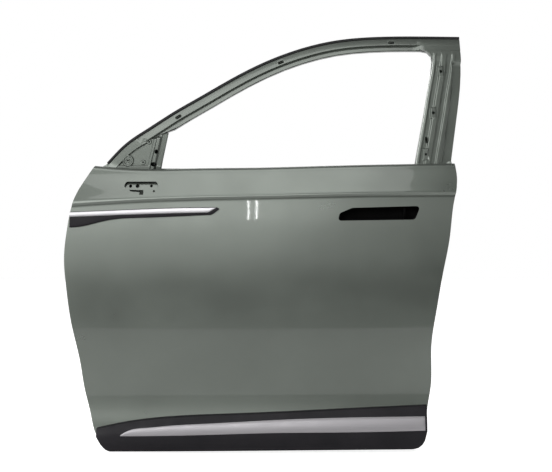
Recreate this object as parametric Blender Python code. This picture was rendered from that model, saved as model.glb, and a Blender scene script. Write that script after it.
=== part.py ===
"""Left front car door, stripped to its painted shell and outer trim.

Sizes are in millimetres and are turned into metres where a mesh is made.
X runs towards the rear of the car, Y into the car and Z up.
The origin is the centre of the upper hinge face, on the front shut face.
"""

import math

import bmesh
import bpy
import numpy as np
from mathutils import Vector
from mathutils.geometry import delaunay_2d_cdt

MM = 0.001

# Stock and clearances
SKIN_T = 0.8
INNER_T = 0.9
STAMPING_T = 1.2
REINFORCEMENT_T = 1.8
SEAT = 0.4
TRIM_SEAT = 0.9
CUT_REACH = 10.0
SLIVER = 1e-3

# Datum planes and plan curve
SKIN_PLANE = -60.0
BELT_Z = 157.0
SILL_Z = -656.0
BOW_CENTRE = 550.0
BOW_RADIUS = 8000.0
FRAME_SET_BACK = 75.0
TUMBLEHOME = 0.35
TUMBLEHOME_CURVE = 0.00025
INNER_DEPTH = 37.0

# Outline of the outer skin, each knot a height and its place along the car
FRONT_EDGE = [(157, 26), (66, -25), (-30, -48), (-115, -56), (-195, -49), (-299, -34),
              (-421, -8), (-493, 3), (-563, 21), (-609, 32), (-635, 44), (-656, 64)]
REAR_EDGE = [(164, 1087), (120, 1090), (49, 1077), (-56, 1063), (-160, 1042), (-265, 1024),
             (-369, 1010), (-491, 1009), (-560, 998), (-620, 990), (-656, 966)]
BELT_LINE = [(26, 157), (113, 150), (200, 147), (300, 148.5), (513, 151), (700, 156), (974, 162.5),
             (1087, 164.5)]
SHOULDER_CREASE = [(-35, 44), (190, 57), (542, 66), (776, 71.5), (1082, 75)]

# Depth of the skin behind its outermost plane, down the shoulder and down the body side
SHOULDER_SECTION = [(0, 66), (0.04, 59), (0.12, 53.5), (0.35, 43), (0.65, 28), (0.9, 17.5), (1, 14)]
BODY_SECTION = [(0, 14), (0.018, 18.5), (0.045, 18), (0.1, 12.5), (0.2, 4.5), (0.33, 0), (0.45, 1.5),
                (0.6, 9), (0.72, 17), (0.8, 19), (0.87, 15), (0.93, 10), (1, 12)]
SKIN_COLUMNS = 17
SHOULDER_ROWS = [0, 0.04, 0.12, 0.35, 0.65, 0.88, 1]
BODY_ROWS = [0.009, 0.018, 0.03, 0.045, 0.07, 0.1, 0.15, 0.2, 0.26, 0.33, 0.39, 0.45, 0.52, 0.6, 0.66, 0.72,
             0.77, 0.82, 0.86, 0.9, 0.93, 0.96, 1]
HEM_WIDTH = 9.0
HEM_TOP_Z = 120.0
HEM_RELIEF = 22.0
HEM_INSET = 1.5
BELT_FOLD = 3.5

# Window frame
HEADER_LINE = [(59.4, 167), (105.7, 219), (172, 268.7), (245.4, 319), (328.5, 370.3), (412.7, 422.5),
               (507.4, 475.6), (637.9, 529.9), (744.7, 557.5), (851.8, 569.6), (1012, 573.8), (1134, 573.8)]
HEADER_STATIONS = 20
HEADER_EDGE = 7.0
HEADER_EDGE_SET = 2.0
HEADER_FACE = 30.0
HEADER_STEP = 14.0
HEADER_DEPTH = 46.0
HEADER_FLANGE_FADE = [(185, 0.12), (240, 1)]
HEADER_NARROWING = [(60, 0.7), (105, 0.8), (160, 1)]
HEADER_SLOTS_X = [260, 568, 922]
HEADER_SLOT = (15.0, 6.0)
SEAL_PROUD = 1.8
FRAME_REAR = [(160, 1081), (244, 1096.5), (294, 1106), (370, 1120.5), (449, 1132), (500, 1135), (560, 1133)]
WINDOW_REAR = [(100, 965), (170, 976), (233, 989.5), (300, 1004.5), (343, 1013.7), (413, 1029), (460, 1040),
               (526, 1050)]
WINDOW_FOOT = 150.0
WINDOW_SILL_CORNER = (262.0, 12.0)
WINDOW_TOP_FRONT_GAP = 18.0
WINDOW_TOP_REAR_GAP = 70.0
WINDOW_REAR_HEIGHTS = (440, 400, 343, 300, 233, 190)
WINDOW_FRONT_BELT = 218.0
WINDOW_FRONT_LEAN = 0.14
WINDOW_CORNER = 42.0
PILLAR_BAND = 29.0
PILLAR_BAND_SET = 25.0
PILLAR_TOP = 526.0
PILLAR_FOOT = 96.0
PILLAR_SECTION = [(0, 14), (0.16, 14), (0.2, 6), (0.27, 4), (0.33, 6), (0.37, 10), (0.64, 10), (0.69, 5),
                  (0.77, 4), (0.81, 7), (0.86, 7), (0.9, 4), (1, 4)]
PILLAR_HOLES = [(456.6, 5.0), (322.3, 5.0), (237.5, 4.0), (192.8, 4.0)]
PILLAR_CHANNEL = 0.5
PILLAR_CORNER_ROWS = (0, 3, 9, 20, 42)
PILLAR_ROWS = 8
PILLAR_STRAIGHT_TOP = 450.0

# Mirror flag at the front corner of the window, and the run post beside it
FLAG_SET_BACK = 17.0
FLAG_FOOT = 122.0
FLAG_FRONT = 98.0
FLAG_REAR = 204.0
FLAG_TOP = 236.0
FLAG_BOSSES = [(118.0, 173.5, 9.0, 5.0), (186.0, 227.0, 5.5, 3.0), (166.0, 168.7, 6.5, 3.2)]
FLAG_BOSS_RISE = 6.0
FLAG_BOSS_DRAFT = 2.5
FLAG_EDGE = 22.0
POST_CENTRE_BELT = 204.0
POST_TOP = 243.0
POST_FOOT = 95.0
POST_SECTION = [(-22, 10), (-9, 10), (-5, 4), (8, 4), (11, 11), (15, 11)]
POST_HOLES = [(206.6, 5.5), (165.0, 6.0)]
POST_HOLE_OFFSET = -15.0

# Shut faces of the inner panel
HINGE_FACE_X = 0.0
LOWER_HINGE_X = 30.0
LOWER_HINGE_Z = -430.0
CHECK_FACE_X = -6.0
CHECK_Z = -190.0
CHECK_FACE_SPAN = (-85.0, -238.0)
LATCH_FACE_X = 1020.0
LATCH_Z = -65.0
LATCH_FACE_SPAN = (-143.0, 7.0)
LOWER_REAR_FACE_X = 984.0
LOWER_REAR_FACE_SPAN = (-540.0, -340.0)
SHUT_FRONT_TOP = (36.0, 100.0)
SHUT_REAR_TOP = [(1038, 70), (1046, 150)]
SHUT_SILL_CORNERS = [(60, -585), (82, -624), (100, -634), (945, -634), (962, -624), (975, -590)]
PILLAR_SHUT_HEIGHTS = (190, 244, 294, 370, 449, 500, 535)
PILLAR_EDGE_HEIGHTS = (175, 208, 244, 294, 332, 370, 410, 449, 475, 500, 520, 545, 562)
FLANGE_FRONT_CORNER = (24.0, 140.0)
HINGE_FACE_HALF = 48.0
INNER_CHAMFER = 9.0
FLANGE_EASE = 0.6
SHUT_EASE = 4.0
HINGE_BOLT_PITCH = 46.0
HINGE_BOLT_HOLE = 5.5
CHECK_BOLT_PITCH = 40.0
CHECK_BOLT_HOLE = 3.6
CHECK_STRAP_HOLE = (9.0, 14.0)
LATCH_BOLT_CIRCLE = 30.0
LATCH_BOLT_HOLE = 3.6
LATCH_MOUTH = (14.0, 22.0)

# Holes and beads of the inner face
SPEAKER = (190.0, -440.0, 82.0)
SERVICE_HOLE = [(330, -60, 40), (700, -60, 50), (690, -400, 50), (360, -420, 50)]
REAR_ACCESS = [(800, -20, 25), (905, -30, 25), (905, -160, 25), (800, -170, 25)]
LOWER_ACCESS = [(770, -330, 35), (890, -330, 35), (880, -480, 35), (770, -480, 35)]
TRIM_CLIP_HOLES = [(70, 60), (70, -300), (330, -560), (560, -575), (780, -560), (940, -450), (950, -250),
                   (960, 60)]
TRIM_CLIP_HOLE = 4.5
BEADS = [[(300, 18, 16), (790, 20, 16), (790, 58, 16), (300, 56, 16)],
         [(335, -522, 14), (740, -522, 14), (740, -484, 14), (335, -482, 14)],
         [(722, -300, 10), (748, -300, 10), (752, -70, 10), (726, -70, 10)]]
BEAD_RISE = 6.0
BEAD_DRAFT = 6.0
FACE_GRID = 95.0
RIM_DRAFT = 6.0
RIM_RISE = 5.0

# Mirror opening and the bracket behind it
MIRROR_OPENING = [(123, 109, 8), (212, 109, 10), (219, 90, 10), (201, 63, 8), (172, 64, 6), (145, 75, 6),
                  (115, 95, 8)]
MIRROR_BRACKET = [(96, 126, 14), (236, 126, 14), (244, 88, 14), (216, 44, 14), (160, 46, 14), (92, 84, 14)]
MIRROR_BRACKET_DEPTH = 15.0
MIRROR_BRACKET_HOLES = [(145, 91, 3.2), (165.5, 92, 4.5), (205.5, 92, 3.2), (196, 75.5, 2.8)]
MIRROR_BRACKET_RIM = 9.0
MIRROR_BRACKET_FLOOR = 16.0
MIRROR_BRACKET_SLOT = [(140, 83, 1.5), (186, 83, 1.5), (186, 72, 1.5), (172, 72, 1.5), (172, 78, 1.5),
                       (140, 78, 1.5)]

# Flush handle aperture and its carrier
HANDLE_APERTURE = [(745, -5.5, 7), (967, -1, 8), (980, 36.5, 7), (779, 30.5, 12), (752, 23, 12)]
CARRIER_FLANGE = 11.0
CARRIER_GAP = 2.0
CARRIER_DEPTH = 30.0
CARRIER_T = 2.2
DIVIDER_X = 934.0
DIVIDER_T = 6.0
DIVIDER_SET_BACK = 7.0
DIVIDER_SPAN = (-1.5, 35.0)

# Bright spear on the front of the shoulder
SPEAR_TOP = [(-35, 20.5), (118.6, 26.3), (266.5, 31.8), (399, 33)]
SPEAR_SILVER_FOOT = [(-37, 5.7), (118.6, 11.5), (266.5, 15.8), (364.5, 17.9)]
SPEAR_FOOT = [(-44, -24.8), (-11, -22.7), (41, -10.9), (89, -1.3), (155.5, 2.8), (373.8, 11.5)]
SPEAR_NOSE = -40.0
SPEAR_TAIL = [(392.4, 20.5), (399, 28), (390, 32.8)]
SPEAR_FOOT_END = 372.0
SPEAR_SILVER_TAIL = [(366, 18.5), (386, 31.4)]
SPEAR_SILVER_END = 360.0
SPEAR_SILVER_INSET = 1.5
SPEAR_PROUD = 5.0
SPEAR_SILVER_T = 2.2
SPEAR_SILVER_PROUD = 0.6
SPEAR_STATIONS = 14

# Lower cladding, its bright accent and the lip against the paint
CLADDING_TOP = [(41.5, -608), (104, -594), (178, -582), (259, -574), (422, -566), (572, -560), (780, -550.5),
                (997, -542)]
CLADDING_FOOT = [(76, -674), (300, -671.5), (484.6, -669), (743.6, -665), (961.6, -663.6)]
CLADDING_NOSE = [(39, -630), (51, -651), (63, -667)]
CLADDING_TAIL = [(981, -651), (997, -616)]
CLADDING_BULGE = [(-0.2, 3), (0, 6), (0.2, 11), (0.5, 15), (0.8, 14), (1, 9), (1.2, 4)]
CLADDING_T = 2.6
CLADDING_STATIONS = 20
ACCENT_TOP = [(110, -625), (128.8, -614), (177.8, -604), (259, -596.5), (340.5, -591.7), (571.6, -579.5),
              (743.6, -574), (991, -571)]
ACCENT_FOOT = [(110, -628), (300, -624), (571.6, -616), (743.6, -615), (991, -611.5)]
ACCENT_T = 2.0
ACCENT_PROUD = 0.3
LIP_HEIGHT = 2.6
LIP_PROUD = 4.0
CLIPS = [(130, -601), (290, -583), (430, -628), (600, -626), (760, -626), (930, -624)]
CLIP_STEM = 3.4
CLIP_TIP = 2.0
CLIP_HEAD = 6.0
CLIP_HEAD_T = 1.5
CLIP_REACH = 12.0
CLIP_PLAY = 3.2

# Reinforcements inside the door
BEAM_OD = 32.0
BEAM_WALL = 2.0
BEAM_FRONT = (52.0, -120.0, 40.0)
BEAM_REAR = (955.0, -395.0, 45.0)
BRACKET_LENGTH = 78.0
BRACKET_HALF_HEIGHT = 34.0
BRACKET_FLANGE = 30.0
BELT_RAIL_FRONT = 105.0
BELT_RAIL_REAR = 1000.0
OUTER_RAIL_FRONT = 254.0
OUTER_RAIL_DROP = (14.0, 42.0, 46.0, 58.0)
OUTER_RAIL_SET_BACK = 75.0
INNER_RAIL = [(-8, 0), (-16, 0), (-20, 9), (-44, 9), (-48, 0), (-58, 0)]
PAD_T = 2.5
PAD_CORNER = 14.0
PAD_GRID = 38.0
FLUTTER_R = 11.0
FLUTTER_AT = [0.22, 0.5, 0.78]
DAMPING_PADS = [(150, -330, 160, 150), (560, -480, 260, 90)]
GUIDE_SECTION = [(11, -7), (0, -7), (0, 7), (11, 7)]
GUIDE_LEAN = 0.05
GUIDE_SET_BACK = 10.0
GUIDE_FOOT = -300.0
HINGE_PLATE_HALF = 40.0
CHECK_PLATE_HALF = 30.0
PLATE_DEPTH = (-14.0, 40.0)
LATCH_PLATE = [(-34, -52, 8), (40, -52, 8), (40, 52, 8), (-34, 52, 8)]
HEX_NUT = 8.0
HEX_NUT_T = 8.0
SMALL_NUT = 5.5
SMALL_NUT_T = 5.0
NUT_BORE_LESS = 0.8


def spline(knots):
    """Natural cubic curve through (position, value) knots, carried straight on beyond them."""
    knots = sorted(knots)
    at = np.array([knot[0] for knot in knots], float)
    value = np.array([knot[1] for knot in knots], float)
    gap = np.diff(at)
    slope = np.diff(value) / gap
    count = len(at)
    system = np.eye(count)
    right = np.zeros(count)
    for i in range(1, count - 1):
        system[i, i - 1:i + 2] = gap[i - 1], 2 * (gap[i - 1] + gap[i]), gap[i]
        right[i] = 6 * (slope[i] - slope[i - 1])
    bend = np.linalg.solve(system, right)

    def read(position):
        i = int(np.clip(np.searchsorted(at, position) - 1, 0, count - 2))
        start = slope[i] - gap[i] * (2 * bend[i] + bend[i + 1]) / 6
        end = slope[i] + gap[i] * (bend[i] + 2 * bend[i + 1]) / 6
        if position <= at[0]:
            return float(value[0] + start * (position - at[0]))
        if position >= at[-1]:
            return float(value[-1] + end * (position - at[-1]))
        step = position - at[i]
        rise = (bend[i + 1] - bend[i]) / (6 * gap[i])
        return float(value[i] + start * step + bend[i] / 2 * step ** 2 + rise * step ** 3)

    return read


def line(knots):
    """Straight runs between (position, value) knots."""
    at = [knot[0] for knot in sorted(knots)]
    value = [knot[1] for knot in sorted(knots)]
    return lambda position: float(np.interp(position, at, value))


front_edge = spline(FRONT_EDGE)
rear_edge = spline(REAR_EDGE)
belt_line = spline(BELT_LINE)
crease_line = spline(SHOULDER_CREASE)
shoulder_section = spline(SHOULDER_SECTION)
body_section = spline(BODY_SECTION)
header_line = spline(HEADER_LINE)
frame_rear = spline(FRAME_REAR)
window_rear = spline(WINDOW_REAR)


def bow(x):
    """How far the plan curve of the door stands behind its outermost point."""
    return (x - BOW_CENTRE) ** 2 / (2 * BOW_RADIUS)


def skin_y(x, z):
    """Outer face of the skin."""
    top, fold = belt_line(x), crease_line(x)
    if z >= fold:
        depth = shoulder_section((top - z) / (top - fold))
    else:
        depth = body_section((fold - z) / (fold - SILL_Z))
    return SKIN_PLANE + depth + bow(x)


def frame_y(x, z):
    """Outer face of the window frame, which leans in above the belt."""
    height = max(z - BELT_Z, 0.0)
    return SKIN_PLANE + FRAME_SET_BACK + bow(x) + TUMBLEHOME * height + TUMBLEHOME_CURVE * height ** 2


def inner_y(x, z):
    """Outboard side of the inner panel's face."""
    return frame_y(x, z) + INNER_DEPTH


def window_front(z):
    """Front edge of the window opening."""
    return WINDOW_FRONT_BELT + WINDOW_FRONT_LEAN * (z - BELT_Z)


def behind(depth, offset):
    """A surface that lies a fixed way behind another."""
    return lambda x, z: depth(x, z) + offset


def lift(outline, depth):
    """Puts each (x, z) point of an outline on a surface."""
    return [(x, depth(x, z), z) for x, z in outline]


def area_of(outline):
    """Signed area of a closed outline."""
    following = outline[1:] + outline[:1]
    return sum(a[0] * b[1] - b[0] * a[1] for a, b in zip(outline, following)) / 2


def offset_points(outline, distance, closed):
    """Moves each point of an outline to its left by a distance, keeping every run parallel."""
    moved = []
    count = len(outline)
    for i, (x, z) in enumerate(outline):
        before = outline[i - 1] if closed or i else None
        after = outline[(i + 1) % count] if closed or i < count - 1 else None
        sides = []
        for start, end in ((before, (x, z)), ((x, z), after)):
            if start is None or end is None:
                continue
            run = Vector((end[0] - start[0], end[1] - start[1])).normalized()
            sides.append(Vector((-run.y, run.x)))
        normal = sum(sides, Vector((0, 0))).normalized()
        reach = distance / max(normal.dot(sides[0]), 0.5)
        moved.append((x + normal.x * reach, z + normal.y * reach))
    return moved


def inset(outline, distance):
    """Draws a closed outline in by a distance, or out where the distance is negative."""
    inward = distance if area_of(outline) > 0 else -distance
    return offset_points(outline, inward, True)


def rounded(corners, steps=3):
    """Closed outline through (x, z, radius) corners."""
    outline = []
    count = len(corners)
    for i, (x, z, radius) in enumerate(corners):
        here = Vector((x, z))
        back = Vector(corners[i - 1][:2]) - here
        ahead = Vector(corners[(i + 1) % count][:2]) - here
        half = back.angle(ahead) / 2
        if radius <= 0 or half > math.radians(86):
            outline.append((x, z))
            continue
        trim = min(radius / math.tan(half), 0.45 * min(back.length, ahead.length))
        start = here + back.normalized() * trim
        end = here + ahead.normalized() * trim
        for step in range(steps + 1):
            part = step / steps
            point = start * (1 - part) ** 2 + here * 2 * part * (1 - part) + end * part ** 2
            outline.append((point.x, point.y))
    return outline


def ring(corners, distance):
    """Rounded outline drawn in from its corners, with as many points at every distance."""
    drawn = inset([corner[:2] for corner in corners], distance)
    return rounded([(x, z, corner[2]) for (x, z), corner in zip(drawn, corners)])


def circle(x, z, radius, sides=14):
    """Round outline about a centre."""
    turns = [2 * math.pi * i / sides for i in range(sides)]
    return [(x + radius * math.cos(turn), z + radius * math.sin(turn)) for turn in turns]


def inside(x, z, outline):
    """Whether a point lies within a closed outline."""
    found = False
    for (ax, az), (bx, bz) in zip(outline, outline[1:] + outline[:1]):
        if (az > z) != (bz > z) and x < (bx - ax) * (z - az) / (bz - az) + ax:
            found = not found
    return found


def clear_of(x, z, outline, distance):
    """Whether a point keeps a distance from every run of an outline."""
    point = Vector((x, z))
    for a, b in zip(outline, outline[1:] + outline[:1]):
        start, run = Vector(a), Vector(b) - Vector(a)
        part = min(max((point - start).dot(run) / max(run.length_squared, 1e-9), 0), 1)
        if (start + run * part - point).length < distance:
            return False
    return True


def lattice(outlines, step):
    """Grid points within the first outline and outside the others, clear of them all."""
    xs = [point[0] for point in outlines[0]]
    zs = [point[1] for point in outlines[0]]
    found = []
    for i in range(math.ceil(min(xs) / step), math.floor(max(xs) / step) + 1):
        for j in range(math.ceil(min(zs) / step), math.floor(max(zs) / step) + 1):
            x, z = i * step, j * step
            held = inside(x, z, outlines[0]) and not any(inside(x, z, hole) for hole in outlines[1:])
            if held and all(clear_of(x, z, outline, 0.4 * step) for outline in outlines):
                found.append((x, z))
    return found


def regions_between(faces, walls):
    """Groups triangles that meet across edges that aren't walls."""
    sides = {}
    for index, face in enumerate(faces):
        for i in range(3):
            sides.setdefault(frozenset((face[i - 1], face[i])), []).append(index)
    left, groups = set(range(len(faces))), []
    while left:
        front, group = [left.pop()], []
        while front:
            index = front.pop()
            group.append(faces[index])
            for i in range(3):
                side = frozenset((faces[index][i - 1], faces[index][i]))
                if side in walls:
                    continue
                for other in sides[side]:
                    if other in left:
                        left.discard(other)
                        front.append(other)
        groups.append(group)
    return groups


class Sheet:
    """A surface gathered from bands and filled regions, whose shared points are one."""

    def __init__(self):
        self.index = {}
        self.points = []
        self.faces = []

    def point(self, place):
        key = tuple(round(value, 4) for value in place)
        if key not in self.index:
            self.index[key] = len(self.points)
            self.points.append(place)
        return self.index[key]

    def face(self, places):
        corners = [self.point(place) for place in places]
        corners = [c for i, c in enumerate(corners) if c != corners[i - 1]]
        if len(set(corners)) > 2:
            self.faces.append(corners)

    def band(self, one, other, closed=True):
        """Faces between two runs of as many points each."""
        count = len(one)
        for i in range(count if closed else count - 1):
            j = (i + 1) % count
            self.face([one[i], one[j], other[j], other[i]])

    def fill(self, outer, holes=(), inner=()):
        """Faces across a closed run of points, seen along Y, leaving its holes open."""
        places, edges = [], []
        for loop in (outer, *holes):
            first = len(places)
            places += loop
            edges += [(first + i, first + (i + 1) % len(loop)) for i in range(len(loop))]
        places += inner
        flat = [Vector((place[0], place[2])) for place in places]
        found, _, faces, source, _, _ = delaunay_2d_cdt(flat, edges, [], 0, 1e-5)
        faces = [tuple(source[i][0] for i in face) for face in faces]
        outlines = [[(x, z) for x, _, z in loop] for loop in (outer, *holes)]
        for region in regions_between(faces, {frozenset(edge) for edge in edges}):
            corners = [[flat[i] for i in face] for face in region]
            widest = max(corners, key=lambda three: area_of([tuple(corner) for corner in three]))
            centre = sum(widest, Vector((0, 0))) / 3
            held = inside(*centre, outlines[0]) and not any(inside(*centre, hole) for hole in outlines[1:])
            if held and area_of([tuple(corner) for corner in widest]) > SLIVER:
                for face in region:
                    self.face([places[i] for i in face])

    def object(self, name, material, thickness=None, outward_y=-1):
        """Makes the object: a closed body as it stands, or a sheet given a thickness behind its outward side."""
        mesh = bpy.data.meshes.new(name)
        mesh.from_pydata([[value * MM for value in place] for place in self.points], [], self.faces)
        form = bmesh.new()
        form.from_mesh(mesh)
        bmesh.ops.recalc_face_normals(form, faces=form.faces)
        facing = sum(face.normal.y * face.calc_area() for face in form.faces)
        if thickness and facing * outward_y < 0:
            bmesh.ops.reverse_faces(form, faces=form.faces)
        form.to_mesh(mesh)
        form.free()
        part = bpy.data.objects.new(name, mesh)
        bpy.context.scene.collection.objects.link(part)
        if material:
            mesh.materials.append(material)
            mesh.shade_smooth()
            mesh.set_sharp_from_angle(angle=math.radians(30))
        if thickness:
            wall = part.modifiers.new("Wall", "SOLIDIFY")
            wall.thickness = thickness * MM
            wall.offset = -1
            wall.use_even_offset = True
            wall.use_quality_normals = True
        return part


def slab(name, material, outline, front, back, holes=(), step=None):
    """Closed body between two surfaces, within an outline."""
    body = Sheet()
    inner = lattice([outline, *holes], step) if step else []
    for surface in (front, back):
        body.fill(lift(outline, surface), [lift(hole, surface) for hole in holes], lift(inner, surface))
    for loop in (outline, *holes):
        body.band(lift(loop, front), lift(loop, back))
    return body.object(name, material)


def strip(name, material, stations, thickness, outward_y=-1):
    """Sheet through sections of as many points each, set out along a path."""
    body = Sheet()
    for one, other in zip(stations, stations[1:]):
        body.band(one, other, closed=False)
    return body.object(name, material, thickness, outward_y)


def cut(part, cutter):
    """Takes a cutter away from a part, and keeps the cutter out of the model."""
    cutter.hide_render = True
    cutter.display_type = "WIRE"
    hole = part.modifiers.new(cutter.name, "BOOLEAN")
    hole.operation = "DIFFERENCE"
    hole.solver = "EXACT"
    hole.object = cutter


def turned(name, material, centre, axis, profile, sides=16, flats_from=None):
    """Body of revolution about an axis, from a (radius, distance along it) profile.

    Its ends lie on the axis, or meet in a ring. Radii past flats_from are drawn in to a hexagon.
    """
    body = Sheet()
    axis = Vector(axis).normalized()
    side = axis.orthogonal().normalized()
    other = axis.cross(side)
    rings = []
    for radius, along in profile:
        ring = []
        for i in range(sides):
            turn = 2 * math.pi * i / sides
            flat = math.cos(math.pi / 6) if flats_from and radius > flats_from and i % 2 else 1
            out = (side * math.cos(turn) + other * math.sin(turn)) * radius * flat
            ring.append(tuple(Vector(centre) + axis * along + out))
        rings.append(ring)
    for one, two in zip(rings, rings[1:]):
        body.band(one, two)
    return body.object(name, material)


def ring_profile(bore, radius, start, end):
    """Profile of a plain tube or nut."""
    return [(bore, start), (radius, start), (radius, end), (bore, end), (bore, start)]


def finish(name, colour, roughness, metallic=0.0):
    """Plain Principled material."""
    made = bpy.data.materials.new(name)
    made.use_nodes = True
    shader = made.node_tree.nodes["Principled BSDF"]
    shader.inputs["Base Color"].default_value = (*colour, 1)
    shader.inputs["Roughness"].default_value = roughness
    shader.inputs["Metallic"].default_value = metallic
    made.diffuse_color = (*colour, 1)
    return made


def along(start, end, count):
    """Evenly spaced values from start to end."""
    return [float(value) for value in np.linspace(start, end, count)]


def refined(outline, step):
    """The closed outline with its long runs divided."""
    dense = []
    for (ax, az), (bx, bz) in zip(outline, outline[1:] + outline[:1]):
        parts = max(1, math.ceil(math.hypot(bx - ax, bz - az) / step))
        dense += [(ax + (bx - ax) * i / parts, az + (bz - az) * i / parts) for i in range(parts)]
    return dense


def skin_station(share, part, shoulder):
    """Place on the skin, by its share of the length and of the shoulder's or the body side's height."""
    x = BOW_CENTRE
    for _ in range(8):
        fold = crease_line(x)
        z = belt_line(x) + (fold - belt_line(x)) * part if shoulder else fold + (SILL_Z - fold) * part
        x = front_edge(z) + (rear_edge(z) - front_edge(z)) * share
    return x, z


def skin_rows():
    """The skin's stations, row by row from the belt down."""
    levels = [(part, True) for part in SHOULDER_ROWS] + [(part, False) for part in BODY_ROWS]
    shares = along(0, 1, SKIN_COLUMNS + 1)
    return [[skin_station(share, part, shoulder) for share in shares] for part, shoulder in levels]


def hem_path(distance=0.0, top=HEM_TOP_Z):
    """Run down the front, along the sill and up the rear, a distance in from the edge of the skin.

    Each point keeps its row or column of the skin, so that every fold follows the crease.
    """
    rows = skin_rows()
    low = SILL_Z + distance
    front = [(row[0][0] + distance, max(row[0][1], low)) for row in rows if row[0][1] < top]
    rear = [(row[-1][0] - distance, max(row[-1][1], low)) for row in rows if row[-1][1] < top]
    return front + [(x, low) for x, _ in rows[-1][1:-1]] + rear[::-1]


def header_run(distance):
    """Stations along the window header, a distance in from its outer edge."""
    first, last = HEADER_LINE[0][0], HEADER_LINE[-1][0]
    path = [(x, header_line(x)) for x in along(first, last, HEADER_STATIONS)]
    return offset_points(path, -distance, False)


def flange_rise(x, z):
    """How far the inner panel's edge flange lies behind the frame's face: it steps back at the rear pillar."""
    edge = HEADER_EDGE_SET + STAMPING_T + SEAT
    step = line([(PILLAR_EDGE_HEIGHTS[-2], PILLAR_BAND_SET), (PILLAR_EDGE_HEIGHTS[-1], edge)])(z)
    return step if x > LATCH_FACE_X else edge


def flange_y(x, z):
    """Edge flange of the inner panel: inside the hem up to the belt, then behind the frame."""
    low, high = HEM_TOP_Z + 2, WINDOW_FOOT
    inside_hem = SKIN_T + SEAT
    if z <= low:
        return skin_y(x, z) + inside_hem
    share = min((z - low) / (high - low), 1)
    return (skin_y(x, low) + inside_hem) * (1 - share) + (frame_y(x, z) + flange_rise(x, z)) * share


def flange_loops():
    """Edge and root of the inner panel's flange, anticlockwise from the front shut face's top."""
    hemmed = hem_path(HEM_INSET)
    pillar = [(frame_rear(z), z) for z in PILLAR_EDGE_HEIGHTS]
    header = header_run(HEADER_EDGE_SET + 1)[::-1]
    edge = hemmed + pillar + header[1:] + [FLANGE_FRONT_CORNER]
    width = HEM_WIDTH + 1
    root = hem_path(HEM_INSET + width) + inset(edge, width)[len(hemmed):]
    return edge, root


def shut_line():
    """Inner side of the shut faces, where the edge flange turns into the door's depth."""
    front = [SHUT_FRONT_TOP, (HINGE_FACE_X, HINGE_FACE_HALF), (HINGE_FACE_X, -HINGE_FACE_HALF)]
    front += [(CHECK_FACE_X, z) for z in CHECK_FACE_SPAN]
    front += [(LOWER_HINGE_X, LOWER_HINGE_Z + side * HINGE_FACE_HALF) for side in (1, -1)]
    rear = [(LOWER_REAR_FACE_X, z) for z in LOWER_REAR_FACE_SPAN]
    rear += [(LATCH_FACE_X, z) for z in LATCH_FACE_SPAN] + SHUT_REAR_TOP
    pillar = [(frame_rear(z) - PILLAR_BAND - 5, z) for z in PILLAR_SHUT_HEIGHTS]
    header = [point for point in header_run(HEADER_FACE - 10)[::-1] if 70 < point[0] < pillar[-1][0]]
    return refined(offset_points(front + SHUT_SILL_CORNERS + rear + pillar, INNER_T, False) + header, 46)


def window_outline():
    """Window opening inside the frame."""
    corner_z, radius = WINDOW_SILL_CORNER
    rear = window_rear(PILLAR_TOP)
    first, last = window_front(corner_z) + WINDOW_TOP_FRONT_GAP, rear - WINDOW_TOP_REAR_GAP
    top = [point for point in header_run(HEADER_DEPTH) if first < point[0] < last]
    left = [(window_front(WINDOW_FOOT), WINDOW_FOOT, 0), (window_front(corner_z), corner_z, radius)]
    corner = [(rear, header_line(rear) - HEADER_DEPTH, WINDOW_CORNER)]
    right = [(window_rear(z), z, 0) for z in (*WINDOW_REAR_HEIGHTS, WINDOW_FOOT)]
    return rounded(left + [(x, z, 0) for x, z in top] + corner + right)


def build_outer_panel(paint):
    """Skin with its shoulder crease, hems, belt fold and openings."""
    rows = [lift(row, skin_y) for row in skin_rows()]
    skin = Sheet()
    for one, other in zip(rows, rows[1:]):
        skin.band(one, other, closed=False)
    hem_depth = 2 * SKIN_T + INNER_T + 3 * SEAT
    fold_top = HEM_TOP_Z - HEM_RELIEF
    edge, fold = hem_path(0, fold_top), hem_path(HEM_WIDTH, fold_top)
    turned_in = lift(edge, behind(skin_y, hem_depth))
    skin.band(lift(edge, skin_y), turned_in, closed=False)
    skin.band(turned_in, lift(fold, behind(skin_y, hem_depth)), closed=False)
    belt = rows[0][1:-1]
    skin.band(belt, [(x, y + BELT_FOLD, z) for x, y, z in belt], closed=False)
    panel = skin.object("outer_panel", paint, SKIN_T)

    for name, corners in (("handle_aperture_cut", HANDLE_APERTURE), ("mirror_opening_cut", MIRROR_OPENING)):
        cut(panel, slab(name, None, rounded(corners), behind(skin_y, -CUT_REACH), behind(skin_y, CUT_REACH)))
    for i, (x, z) in enumerate(CLIPS):
        hole = circle(x, z, CLIP_STEM + SEAT + 0.2, 10)
        cut(panel, slab(f"clip_hole_cut_{i + 1}", None, hole, behind(skin_y, -6), behind(skin_y, 8)))
    return panel


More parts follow.
